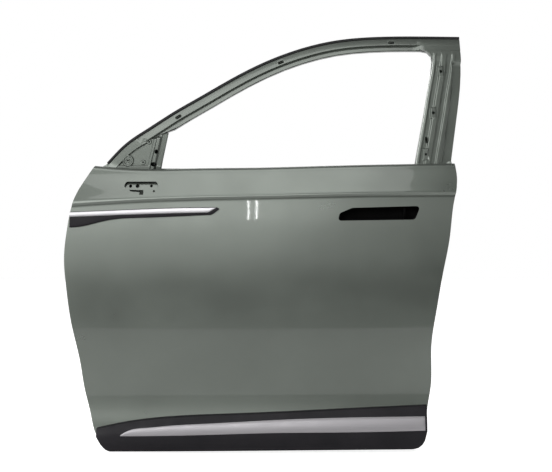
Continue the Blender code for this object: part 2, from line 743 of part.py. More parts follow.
def build_inner_panel(paint):
    """One stamping: edge flange, shut faces, inner face with its holes, and the inner window frame."""
    panel = Sheet()
    edge, root = flange_loops()
    shut = shut_line()
    face = inset(shut, INNER_CHAMFER)
    root_y, shut_y = behind(flange_y, FLANGE_EASE), behind(flange_y, SHUT_EASE)
    panel.band(lift(edge, flange_y), lift(root, root_y))
    panel.fill(lift(root, root_y), [lift(shut, shut_y)])
    panel.band(lift(shut, shut_y), lift(shut, behind(inner_y, -INNER_CHAMFER)))
    panel.band(lift(shut, behind(inner_y, -INNER_CHAMFER)), lift(face, inner_y))

    window = window_outline()
    return_level = line([(BELT_Z, INNER_DEPTH - 8), (BELT_Z + 22, 18)])
    panel.band(lift(window, inner_y), lift(window, lambda x, z: frame_y(x, z) + return_level(z)))

    speaker = circle(*SPEAKER, 28)
    openings = [speaker, rounded(SERVICE_HOLE), rounded(REAR_ACCESS), rounded(LOWER_ACCESS)]
    rims = [inset(refined(opening, 60), -RIM_DRAFT) for opening in openings]
    for opening, rim in zip(openings, rims):
        panel.band(lift(rim, inner_y), lift(refined(opening, 60), behind(inner_y, -RIM_RISE)))
    feet = [refined(rounded(bead), 70) for bead in BEADS]
    for foot in feet:
        crown = lift(inset(foot, BEAD_DRAFT), behind(inner_y, BEAD_RISE))
        panel.band(lift(foot, inner_y), crown)
        panel.fill(crown)
    clips = [circle(x, z, TRIM_CLIP_HOLE, 7) for x, z in TRIM_CLIP_HOLES]
    holes = [window, *rims, *feet, *clips]
    grid = lattice([face, *holes], FACE_GRID)
    panel.fill(lift(face, inner_y), [lift(hole, inner_y) for hole in holes], lift(grid, inner_y))
    part = panel.object("inner_panel", paint, INNER_T)

    for name, x, z in (("upper_hinge_holes", HINGE_FACE_X, 0), ("lower_hinge_holes", LOWER_HINGE_X, LOWER_HINGE_Z)):
        cut(part, bolt_cutter(name, x, hinge_bolts(z), HINGE_BOLT_HOLE))
    cut(part, bolt_cutter("check_holes", CHECK_FACE_X, check_bolts(), CHECK_BOLT_HOLE))
    cut(part, block("check_strap_cut", None, CHECK_FACE_X, CHECK_Z, CHECK_STRAP_HOLE))
    cut(part, bolt_cutter("latch_holes", LATCH_FACE_X, latch_bolts(), LATCH_BOLT_HOLE))
    cut(part, block("latch_mouth_cut", None, LATCH_FACE_X, LATCH_Z, LATCH_MOUTH))
    return part


def hinge_bolts(z):
    """Places (y, z) of the two bolts of a hinge centred at a height."""
    return [(0, z + side * HINGE_BOLT_PITCH / 2) for side in (-1, 1)]


def latch_bolts():
    """Places (y, z) of the three latch screws."""
    turns = [math.radians(turn) for turn in (60, 180, 300)]
    return [(LATCH_BOLT_CIRCLE * math.cos(turn), LATCH_Z + LATCH_BOLT_CIRCLE * math.sin(turn)) for turn in turns]


def check_bolts():
    """Places (y, z) of the two check-strap screws."""
    return [(0, CHECK_Z + side * CHECK_BOLT_PITCH / 2) for side in (-1, 1)]


def bolt_cutter(name, x, places, radius):
    """Rods along X through a shut face, as one cutter."""
    rods = Sheet()
    for y, z in places:
        rings = [[(at, y + radius * math.cos(turn), z + radius * math.sin(turn))
                  for turn in (2 * math.pi * i / 12 for i in range(12))] for at in (x - 8, x + 14)]
        rods.band(*rings)
        for ring in rings:
            rods.face(ring)
    return rods.object(name, None)


def block(name, paint, x, z, half_size, length=22.0):
    """Block across a shut face, centred at y = 0."""
    half_y, half_z = half_size
    profile = [(-half_y, z - half_z), (half_y, z - half_z), (half_y, z + half_z), (-half_y, z + half_z)]
    return extruded(name, paint, "x", profile, x - 8, x - 8 + length)


def extruded(name, paint, axis, profile, start, end):
    """Closed prism along an axis; its profile holds the other two coordinates in the order of the axes."""
    place = "xyz".index(axis)
    ends = []
    for at in (start, end):
        ends.append([(*point[:place], at, *point[place:]) for point in profile])
    body = Sheet()
    body.band(*ends)
    for cap in ends:
        body.face(cap)
    return body.object(name, paint)


def build_header_outer(paint):
    """Outer window header: edge flange, body-colour face and the stepped flange under it."""
    edge = HEADER_EDGE_SET
    section = [(edge, edge), (HEADER_EDGE + 1, edge), (HEADER_EDGE + 2, 0), (HEADER_FACE, 0),
               (HEADER_FACE + 2, HEADER_STEP), (HEADER_DEPTH, HEADER_STEP)]
    narrowing = line(HEADER_NARROWING)
    path = header_run(0)
    runs = []
    for n, w in section:
        run = header_run(n)
        if n > HEADER_EDGE + 2:
            run = [tuple(Vector(a).lerp(Vector(b), narrowing(a[0]))) for a, b in zip(path, run)]
        runs.append(lift(run, behind(frame_y, w)))
    width = line(HEADER_FLANGE_FADE)
    flange = [Vector((a[0], a[2])).lerp(Vector((b[0], b[2])), width(a[0])) for a, b in zip(*runs[-2:])]
    runs[-1] = lift([tuple(point) for point in flange], behind(frame_y, HEADER_STEP))
    header = strip("header_outer", paint, runs, STAMPING_T)
    length, width = HEADER_SLOT
    for i, x in enumerate(HEADER_SLOTS_X):
        near = min(range(HEADER_STATIONS - 1), key=lambda k: abs(header_run(0)[k][0] - x))
        centre_run = header_run((HEADER_EDGE + HEADER_FACE) / 2)
        run = Vector(centre_run[near + 1]) - Vector(centre_run[near])
        centre = Vector(centre_run[near]) + run * 0.5
        run.normalize()
        across = Vector((-run.y, run.x))
        halves = run * length / 2, across * width / 2
        corners = [centre + halves[0] * a + halves[1] * b for a, b in ((-1, -1), (1, -1), (1, 1), (-1, 1))]
        slot = rounded([(corner.x, corner.y, width / 2) for corner in corners])
        cut(header, slab(f"header_slot_{i + 1}", None, slot, behind(frame_y, -2), behind(frame_y, 24)))
    return header


def build_header_seal(rubber):
    """Black finisher strip along the top of the header."""
    outer, inner = header_run(-0.6), header_run(HEADER_EDGE)
    front, back = behind(frame_y, -SEAL_PROUD), behind(frame_y, HEADER_EDGE_SET - SEAT)
    mid = header_run(HEADER_EDGE / 2)
    sections = [lift(outer, back), lift(outer, frame_y), lift(mid, front), lift(inner, frame_y), lift(inner, back)]
    seal = Sheet()
    for one, other in zip(sections, sections[1:] + sections[:1]):
        seal.band(one, other, closed=False)
    for end in (0, -1):
        seal.face([section[end] for section in sections])
    return seal.object("header_seal", rubber)


def pillar_front(z):
    """Window-side edge of the rear pillar, rounded into the header at its top."""
    centre = PILLAR_TOP - WINDOW_CORNER
    if z <= centre:
        return window_rear(z)
    fall = WINDOW_CORNER - math.sqrt(max(WINDOW_CORNER ** 2 - (z - centre) ** 2, 0))
    return window_rear(z) - fall


def pillar_back(z):
    """Rear edge of the rear pillar's outer stamping, which tucks inside the shut face below the belt."""
    tuck = 0.55 * max(BELT_Z + 30 - z, 0)
    return frame_rear(z) - PILLAR_BAND - tuck


def build_pillar_outer(paint):
    """Ribbed outer stamping of the rear window pillar."""
    levels = [PILLAR_TOP - drop for drop in PILLAR_CORNER_ROWS] + along(PILLAR_STRAIGHT_TOP, PILLAR_FOOT, PILLAR_ROWS)
    stations = []
    for z in levels:
        front, back = pillar_front(z), pillar_back(z)
        row = [(front + (back - front) * share, z, w) for share, w in PILLAR_SECTION]
        row.append((back, z, PILLAR_BAND_SET - SEAT))
        stations.append([(x, frame_y(x, z) + w, z) for x, z, w in row])
    pillar = strip("b_pillar_outer", paint, stations, STAMPING_T)
    for i, (z, radius) in enumerate(PILLAR_HOLES):
        x = pillar_front(z) + (pillar_back(z) - pillar_front(z)) * PILLAR_CHANNEL
        hole = circle(x, z, radius, 10)
        cut(pillar, slab(f"pillar_hole_{i + 1}", None, hole, behind(frame_y, 0), behind(frame_y, 20)))
    return pillar


def build_mirror_flag(paint):
    """Three-cornered stamping at the front of the window, with raised bosses."""
    top = [point for point in header_run(FLAG_EDGE) if point[0] < FLAG_REAR]
    outline = refined(top + [(FLAG_REAR, FLAG_TOP), (FLAG_REAR, FLAG_FOOT), (FLAG_FRONT, FLAG_FOOT)], 40)
    level = behind(frame_y, FLAG_SET_BACK)
    raised = behind(frame_y, FLAG_SET_BACK - FLAG_BOSS_RISE)
    flag = Sheet()
    feet = []
    for x, z, radius, bore in FLAG_BOSSES:
        foot = circle(x, z, radius + FLAG_BOSS_DRAFT)
        crown = circle(x, z, radius)
        flag.band(lift(foot, level), lift(crown, raised))
        flag.band(lift(crown, raised), lift(circle(x, z, bore), raised))
        feet.append(foot)
    grid = lattice([outline, *feet], 30)
    flag.fill(lift(outline, level), [lift(foot, level) for foot in feet], lift(grid, level))
    return flag.object("mirror_flag", paint, STAMPING_T)


def post_centre(z):
    """Centre line of the front run post."""
    return POST_CENTRE_BELT + WINDOW_FRONT_LEAN * (z - BELT_Z)


def build_run_post(paint):
    """Hat-section post between the flag and the window glass."""
    stations = []
    for z in along(POST_TOP, POST_FOOT, 7):
        stations.append([(post_centre(z) + dx, frame_y(post_centre(z), z) + w, z) for dx, w in POST_SECTION])
    post = strip("front_run_post", paint, stations, STAMPING_T)
    for i, (z, radius) in enumerate(POST_HOLES):
        hole = circle(post_centre(z) + POST_HOLE_OFFSET, z, radius, 12)
        cut(post, slab(f"post_hole_{i + 1}", None, hole, behind(frame_y, 2), behind(frame_y, 20)))
    return post


def build_belt_rails(paint):
    """Stiffening rails along the belt, one behind the skin and one outboard of the inner panel."""
    outer, inner = [], []
    top, low, foot, end = OUTER_RAIL_DROP
    against_skin = SKIN_T + 3 * SEAT
    for x in along(OUTER_RAIL_FRONT, BELT_RAIL_REAR, 12):
        belt = belt_line(x)
        wall = SKIN_PLANE + OUTER_RAIL_SET_BACK + bow(x)
        outer.append([(x, skin_y(x, belt - top) + against_skin, belt - top), (x, wall, belt - top - 2),
                      (x, wall, belt - low), (x, skin_y(x, belt - foot) + against_skin, belt - foot),
                      (x, skin_y(x, belt - end) + against_skin, belt - end)])
    for x in along(BELT_RAIL_FRONT, BELT_RAIL_REAR, 12):
        seat = inner_y(x, BELT_Z) - SEAT - STAMPING_T
        inner.append([(x, seat - w, BELT_Z + dz) for dz, w in INNER_RAIL])
    strip("belt_rail_outer", paint, outer, STAMPING_T)
    strip("belt_rail_inner", paint, inner, STAMPING_T)


def beam_ends():
    """Both ends of the side impact beam's centre line."""
    return [Vector((x, SKIN_PLANE + depth + bow(x), z)) for x, z, depth in (BEAM_FRONT, BEAM_REAR)]


def build_impact_beam(steel, paint, foam):
    """Tube across the door, its two end brackets and the pads that tie it to the skin."""
    start, end = beam_ends()
    length = (end - start).length
    radius = BEAM_OD / 2
    turned("impact_beam", steel, start, end - start, ring_profile(radius - BEAM_WALL, radius, 0, length), 24)
    front_wall = CHECK_FACE_X + INNER_T + SEAT
    rear_wall = LOWER_REAR_FACE_X - INNER_T - SEAT
    for name, place, wall, into in (("beam_bracket_front", start, front_wall, 1),
                                    ("beam_bracket_rear", end, rear_wall, -1)):
        y = place.y + radius + SEAT
        t = REINFORCEMENT_T
        profile = [(wall, y), (wall + into * BRACKET_LENGTH, y), (wall + into * BRACKET_LENGTH, y + t),
                   (wall + into * t, y + t), (wall + into * t, y + BRACKET_FLANGE), (wall, y + BRACKET_FLANGE)]
        extruded(name, paint, "z", profile, place.z - BRACKET_HALF_HEIGHT, place.z + BRACKET_HALF_HEIGHT)
    for i, share in enumerate(FLUTTER_AT):
        middle = start.lerp(end, share)
        back = middle.y - radius - SEAT
        slab(f"flutter_pad_{i + 1}", foam, circle(middle.x, middle.z, FLUTTER_R, 12),
             behind(skin_y, SKIN_T + SEAT), lambda x, z, back=back: back)


def build_shut_reinforcements(paint, steel):
    """Plates behind the hinge, check and latch faces, with the nuts that their screws reach."""
    inner_side = INNER_T + SEAT
    hinge_nut, check_nut = (HEX_NUT, HEX_NUT_T), (SMALL_NUT, SMALL_NUT_T)
    sites = [("hinge_plate_upper", HINGE_FACE_X, 0, HINGE_PLATE_HALF, HINGE_BOLT_HOLE, hinge_nut, hinge_bolts(0)),
             ("hinge_plate_lower", LOWER_HINGE_X, LOWER_HINGE_Z, HINGE_PLATE_HALF, HINGE_BOLT_HOLE, hinge_nut,
              hinge_bolts(LOWER_HINGE_Z)),
             ("check_plate", CHECK_FACE_X, CHECK_Z, CHECK_PLATE_HALF, CHECK_BOLT_HOLE, check_nut, check_bolts())]
    low, high = PLATE_DEPTH
    for name, x, z, half, hole, (nut, nut_t), bolts in sites:
        near = x + inner_side
        profile = [(y, at, 6) for y, at in ((low, z - half), (high, z - half), (high, z + half), (low, z + half))]
        plate = extruded(name, paint, "x", rounded(profile, 3), near, near + REINFORCEMENT_T)
        cut(plate, bolt_cutter(name + "_holes", x, bolts, hole))
        if name == "check_plate":
            cut(plate, block(name + "_mouth", None, x, z, CHECK_STRAP_HOLE))
        seat = near + REINFORCEMENT_T + SEAT
        for i, (y, at) in enumerate(bolts):
            rings = ring_profile(hole - NUT_BORE_LESS, nut, 0, nut_t)
            turned(f"{name}_nut_{i + 1}", steel, (seat, y, at), (1, 0, 0), rings, 12, hole)
    near = LATCH_FACE_X - inner_side
    profile = [(y, LATCH_Z + dz, radius) for y, dz, radius in LATCH_PLATE]
    plate = extruded("latch_plate", paint, "x", rounded(profile, 3), near - REINFORCEMENT_T, near)
    cut(plate, bolt_cutter("latch_plate_holes", near - REINFORCEMENT_T, latch_bolts(), LATCH_BOLT_HOLE))
    cut(plate, block("latch_plate_mouth", None, near - REINFORCEMENT_T, LATCH_Z, LATCH_MOUTH))


def build_mirror_bracket(paint):
    """Dished bracket behind the mirror opening, with its screw holes and harness cut-out."""
    outer, foot, floor = [ring(MIRROR_BRACKET, distance) for distance in (0, MIRROR_BRACKET_RIM, MIRROR_BRACKET_FLOOR)]
    against = behind(skin_y, SKIN_T + 2 * SEAT)
    deep = behind(skin_y, MIRROR_BRACKET_DEPTH)
    holes = [circle(x, z, radius, 9) for x, z, radius in MIRROR_BRACKET_HOLES] + [rounded(MIRROR_BRACKET_SLOT, 2)]
    bracket = Sheet()
    bracket.band(lift(outer, against), lift(foot, against))
    bracket.band(lift(foot, against), lift(floor, deep))
    bracket.fill(lift(floor, deep), [lift(hole, deep) for hole in holes], lift(lattice([floor, *holes], 26), deep))
    return bracket.object("mirror_bracket", paint, STAMPING_T)


def build_handle_carrier(plastic):
    """Black pocket behind the flush handle's aperture, with a divider across it."""
    aperture = refined(rounded(HANDLE_APERTURE), 50)
    mouth = inset(aperture, -CARRIER_GAP)
    flange = inset(aperture, -CARRIER_FLANGE)
    against = behind(skin_y, SKIN_T + SEAT)
    deep = behind(skin_y, CARRIER_DEPTH)
    tray = Sheet()
    tray.band(lift(flange, against), lift(mouth, against))
    tray.band(lift(mouth, against), lift(mouth, deep))
    tray.fill(lift(mouth, deep), [], lift(lattice([mouth], 18), deep))
    carrier = tray.object("handle_carrier", plastic, CARRIER_T)
    x, half = DIVIDER_X, DIVIDER_T / 2
    foot, top = DIVIDER_SPAN
    outline = [(x - half, foot), (x + half, foot), (x + half, top), (x - half, top)]
    rib = slab("handle_divider", None, outline, behind(skin_y, DIVIDER_SET_BACK), behind(skin_y, CARRIER_DEPTH + 1))
    rib.hide_render = True
    rib.display_type = "WIRE"
    joined = carrier.modifiers.new("Divider", "BOOLEAN")
    joined.operation = "UNION"
    joined.solver = "EXACT"
    joined.object = rib
    return carrier


def build_spear(plastic, bright):
    """Black spear base clipped to the shoulder, and the bright strip let into its upper half."""
    top_line, silver_foot, foot_line = spline(SPEAR_TOP), spline(SPEAR_SILVER_FOOT), spline(SPEAR_FOOT)
    stations = along(SPEAR_NOSE, SPEAR_FOOT_END, SPEAR_STATIONS)
    base = [(x, foot_line(x)) for x in stations] + SPEAR_TAIL + [(x, top_line(x)) for x in stations[::-1]]
    silver_stations = along(SPEAR_NOSE, SPEAR_SILVER_END, SPEAR_STATIONS)
    silver = [(x, silver_foot(x)) for x in silver_stations] + SPEAR_SILVER_TAIL
    silver += [(x, top_line(x) - SPEAR_SILVER_INSET) for x in silver_stations[::-1]]
    seat = behind(skin_y, -TRIM_SEAT)
    face = behind(skin_y, -SPEAR_PROUD)
    rebate = behind(skin_y, -SPEAR_PROUD + SPEAR_SILVER_T)
    part = slab("spear_base", plastic, base, face, seat, step=12)
    opened = [(x - 6, z) if x < SPEAR_NOSE + 1 else (x, z) for x, z in inset(silver, -SEAT)]
    cut(part, slab("spear_rebate", None, opened, behind(skin_y, -SPEAR_PROUD - 4), rebate, step=12))
    slab("spear_bright", bright, silver, behind(skin_y, -SPEAR_PROUD - SPEAR_SILVER_PROUD),
         behind(skin_y, -SPEAR_PROUD + SPEAR_SILVER_T - SEAT), step=12)


cladding_top = spline(CLADDING_TOP)
cladding_foot = spline(CLADDING_FOOT)
cladding_bulge = spline(CLADDING_BULGE)


def cladding_y(x, z):
    """Outer face of the cladding."""
    top, foot = cladding_top(x), cladding_foot(x)
    return skin_y(x, z) - cladding_bulge((top - z) / (top - foot))


def build_cladding(plastic, bright, rubber):
    """Lower cladding shell with a rebate for its bright accent, the accent, the lip and the clips."""
    top = [(x, cladding_top(x)) for x in along(CLADDING_TOP[0][0], CLADDING_TOP[-1][0], CLADDING_STATIONS)]
    foot = [(x, cladding_foot(x)) for x in along(CLADDING_FOOT[0][0], CLADDING_FOOT[-1][0], CLADDING_STATIONS)]
    outline = refined(CLADDING_NOSE + foot + CLADDING_TAIL + top[::-1], 52)
    accent_stations = along(ACCENT_TOP[0][0], ACCENT_TOP[-1][0], CLADDING_STATIONS)
    accent_top, accent_foot = spline(ACCENT_TOP), spline(ACCENT_FOOT)
    accent = [(x, accent_foot(x)) for x in accent_stations] + [(x, accent_top(x)) for x in accent_stations[::-1]]
    rebate = inset(accent, -SEAT)
    floor = behind(cladding_y, ACCENT_T + 2 * SEAT)
    shell = Sheet()
    shell.band(lift(outline, behind(skin_y, -TRIM_SEAT)), lift(outline, cladding_y))
    grid = lattice([outline, rebate], 24)
    shell.fill(lift(outline, cladding_y), [lift(rebate, cladding_y)], lift(grid, cladding_y))
    shell.band(lift(rebate, cladding_y), lift(rebate, floor))
    shell.fill(lift(rebate, floor), [], lift(lattice([rebate], 24), floor))
    shell.object("cladding", plastic, CLADDING_T)
    slab("cladding_accent", bright, accent, behind(cladding_y, -ACCENT_PROUD), behind(cladding_y, ACCENT_T), step=24)

    lip_foot = [(x, z + SEAT) for x, z in top]
    lip_top = [(x, z + LIP_HEIGHT) for x, z in lip_foot]
    slab("cladding_lip", rubber, lip_foot + lip_top[::-1], behind(skin_y, -LIP_PROUD), behind(skin_y, -TRIM_SEAT))

    for i, (x, z) in enumerate(CLIPS):
        head = cladding_y(x, z) + CLADDING_T + CLIP_PLAY
        skin = skin_y(x, z)
        profile = [(0, head), (CLIP_HEAD, head), (CLIP_HEAD, head + CLIP_HEAD_T), (CLIP_STEM, head + CLIP_HEAD_T + 1),
                   (CLIP_STEM, skin + CLIP_REACH / 2), (CLIP_TIP, skin + CLIP_REACH), (0, skin + CLIP_REACH)]
        turned(f"cladding_clip_{i + 1}", plastic, (x, 0, z), (0, 1, 0), profile, 10)


def build_glass_guides(paint):
    """Channels inside the door that the glass edges run in, below the post and the pillar."""
    for name, x_top, top, side in (("front_glass_guide", post_centre(POST_FOOT), POST_FOOT, 1),
                                   ("rear_glass_guide", window_rear(PILLAR_FOOT) + 10, PILLAR_FOOT, -1)):
        stations = []
        for z in along(top - SEAT, GUIDE_FOOT, 8):
            x = x_top + WINDOW_FRONT_LEAN * (z - top) * (1 if side > 0 else 0.5)
            y = frame_y(x, z) + GUIDE_SET_BACK + GUIDE_LEAN * (z - top)
            stations.append([(x + side * dx, y + dy, z) for dx, dy in GUIDE_SECTION])
        strip(name, paint, stations, STAMPING_T)


def build_damping_pads(foam):
    """Flat damping pads stuck to the back of the skin."""
    for i, (x, z, width, height) in enumerate(DAMPING_PADS):
        corners = [(x - width / 2, z - height / 2, PAD_CORNER), (x + width / 2, z - height / 2, PAD_CORNER),
                   (x + width / 2, z + height / 2, PAD_CORNER), (x - width / 2, z + height / 2, PAD_CORNER)]
        front = SKIN_T + 2 * SEAT
        slab(f"damping_pad_{i + 1}", foam, refined(rounded(corners), PAD_GRID),
             behind(skin_y, front), behind(skin_y, front + PAD_T), step=PAD_GRID)


def main():
    for obj in list(bpy.data.objects):
        bpy.data.objects.remove(obj)
    paint = finish("body_paint", (0.16, 0.2, 0.155), 0.25, 0.3)
    plastic = finish("black_plastic", (0.018, 0.017, 0.02), 0.45)
    bright = finish("satin_silver", (0.55, 0.53, 0.54), 0.32, 0.8)
    rubber = finish("black_rubber", (0.012, 0.012, 0.013), 0.6)
    steel = finish("plated_steel", (0.5, 0.5, 0.48), 0.35, 0.9)
    foam = finish("grey_mastic", (0.1, 0.1, 0.1), 0.85)

    build_outer_panel(paint)
    build_inner_panel(paint)
    build_header_outer(paint)
    build_header_seal(rubber)
    build_pillar_outer(paint)
    build_mirror_flag(paint)
    build_run_post(paint)
    build_belt_rails(paint)
    build_impact_beam(steel, paint, foam)
    build_shut_reinforcements(paint, steel)
    build_mirror_bracket(paint)
    build_handle_carrier(plastic)
    build_spear(plastic, bright)
    build_cladding(plastic, bright, rubber)
    build_glass_guides(paint)
    build_damping_pads(foam)


main()
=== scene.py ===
"""Looks of a stripped left front car door: painted stampings, satin trim, black mouldings, plain studio.

Sizes are in millimetres and become metres where a mesh is placed. X runs to the rear of the car,
Y into the car and Z up, with the origin at the centre of the upper hinge face.
"""
import logging
import math
from dataclasses import dataclass, field
from enum import Enum
from typing import Callable, Iterable, Sequence

import bpy
import numpy as np
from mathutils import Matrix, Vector


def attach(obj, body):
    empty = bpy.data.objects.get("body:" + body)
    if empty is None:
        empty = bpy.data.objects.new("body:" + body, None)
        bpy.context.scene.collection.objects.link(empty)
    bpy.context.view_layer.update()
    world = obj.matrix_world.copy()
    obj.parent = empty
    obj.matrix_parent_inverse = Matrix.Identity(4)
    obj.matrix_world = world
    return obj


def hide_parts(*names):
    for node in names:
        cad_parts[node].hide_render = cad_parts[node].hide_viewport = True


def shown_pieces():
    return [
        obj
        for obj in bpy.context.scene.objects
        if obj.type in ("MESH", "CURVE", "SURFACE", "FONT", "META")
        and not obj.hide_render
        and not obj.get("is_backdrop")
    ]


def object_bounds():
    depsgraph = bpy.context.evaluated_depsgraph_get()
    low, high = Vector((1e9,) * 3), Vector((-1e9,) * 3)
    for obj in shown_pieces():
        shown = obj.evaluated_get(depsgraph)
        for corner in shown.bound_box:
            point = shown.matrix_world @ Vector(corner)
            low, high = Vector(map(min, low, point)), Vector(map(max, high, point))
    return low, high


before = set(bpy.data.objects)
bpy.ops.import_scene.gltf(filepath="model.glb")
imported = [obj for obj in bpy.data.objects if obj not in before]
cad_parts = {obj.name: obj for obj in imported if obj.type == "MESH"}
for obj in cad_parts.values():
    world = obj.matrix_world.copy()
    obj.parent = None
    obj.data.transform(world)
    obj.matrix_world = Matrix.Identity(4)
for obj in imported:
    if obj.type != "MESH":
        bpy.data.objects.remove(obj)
CAD_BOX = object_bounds()
LOG = logging.getLogger("door")
MM = 0.001
# Points that are nearer than this, in metres, become one.
MERGE_GAP = 0.00001
# The most of a side that a round corner takes.
ROUND_SHARE = 0.48
BODY = "root"

# Flat is an (x, z) point and Pair any two numbers. A Table has rows whose columns its class names.
Flat = tuple[float, float]
Pair = tuple[float, float]
Point = tuple[float, float, float]
Table = tuple[tuple[float, ...], ...]
Knots = Sequence[Pair]
Depth = Callable[[float, float], float]
Socket = bpy.types.NodeSocket


class Curve:
    """Natural cubic curve through knots, carried straight on beyond its ends."""

    def __init__(self, knots: Knots) -> None:
        """Solves the curve.

        Args:
            knots: pairs of position and value.
        """
        ordered = sorted(knots)
        self.at = np.array([knot[0] for knot in ordered], float)
        self.value = np.array([knot[1] for knot in ordered], float)
        self.gap = np.diff(self.at)
        self.slope = np.diff(self.value) / self.gap
        count = len(self.at)
        system = np.eye(count)
        right = np.zeros(count)
        for i in range(1, count - 1):
            system[i, i - 1:i + 2] = self.gap[i - 1], 2 * (self.gap[i - 1] + self.gap[i]), self.gap[i]
            right[i] = 6 * (self.slope[i] - self.slope[i - 1])
        self.bend = np.linalg.solve(system, right)

    def __call__(self, position: float) -> float:
        """Reads the curve.

        Args:
            position: where to read it.

        Returns:
            The value there.
        """
        i = int(np.clip(np.searchsorted(self.at, position) - 1, 0, len(self.at) - 2))
        gap, slope = self.gap[i], self.slope[i]
        if position <= self.at[0]:
            start = slope - gap * (2 * self.bend[i] + self.bend[i + 1]) / 6
            return float(self.value[0] + start * (position - self.at[0]))
        if position >= self.at[-1]:
            end = slope + gap * (self.bend[i] + 2 * self.bend[i + 1]) / 6
            return float(self.value[-1] + end * (position - self.at[-1]))
        start = slope - gap * (2 * self.bend[i] + self.bend[i + 1]) / 6
        step = position - self.at[i]
        rise = (self.bend[i + 1] - self.bend[i]) / (6 * gap)
        return float(self.value[i] + start * step + self.bend[i] / 2 * step ** 2 + rise * step ** 3)


def spread(start: float, end: float, count: int) -> list[float]:
    """Evenly spaced values from start to end."""
    return [float(value) for value in np.linspace(start, end, count)]


def behind(depth: Depth, offset: float) -> Depth:
    """A surface that lies a fixed way behind another."""
    return lambda x, z: depth(x, z) + offset


def lift(outline: Iterable[Flat], depth: Depth) -> list[Point]:
    """Puts each (x, z) point of an outline on a surface."""
    return [(x, depth(x, z), z) for x, z in outline]


def offset_run(run: Sequence[Flat], distance: float) -> list[Flat]:
    """Moves an open run of (x, z) points to its left.

    Args:
        run: the points.
        distance: how far each moves.

    Returns:
        The moved points.
    """
    moved = []
    for i, (x, z) in enumerate(run):
        before, after = run[max(i - 1, 0)], run[min(i + 1, len(run) - 1)]
        way = Vector((after[0] - before[0], after[1] - before[1])).normalized()
        moved.append((x - way.y * distance, z + way.x * distance))
    return moved


def rounded(corners: Sequence[Point], steps: int = 8) -> list[Flat]:
    """Closed outline through (x, z, radius) corners.

    Args:
        corners: the sharp corners and their radii.
        steps: how many runs each round corner has.

    Returns:
        The outline's points.
    """
    outline = []
    for i, (x, z, radius) in enumerate(corners):
        here = Vector((x, z))
        back = Vector(corners[i - 1][:2]) - here
        ahead = Vector(corners[(i + 1) % len(corners)][:2]) - here
        half = back.angle(ahead) / 2
        if radius <= 0:
            outline.append((x, z))
            continue
        trim = min(radius / math.tan(half), ROUND_SHARE * min(back.length, ahead.length))
        start, end = here + back.normalized() * trim, here + ahead.normalized() * trim
        for step in range(steps + 1):
            share = step / steps
            point = start * (1 - share) ** 2 + here * 2 * share * (1 - share) + end * share ** 2
            outline.append((point.x, point.y))
    return outline


def ease(value: float, start: float, end: float) -> float:
    """Smooth step from 0 to 1 as a value runs from start to end."""
    share = min(max((value - start) / (end - start), 0.0), 1.0)
    return share * share * (3 - 2 * share)


def crown(share: float, rise: float) -> float:
    """Height of a rounded strip at a share of its width."""
    return rise * (1 - (2 * share - 1) ** 2)


def circle(x: float, z: float, radius: float, sides: int = 28) -> list[Flat]:
    """Round outline about a centre."""
    turns = [2 * math.pi * i / sides for i in range(sides)]
    return [(x + radius * math.cos(turn), z + radius * math.sin(turn)) for turn in turns]


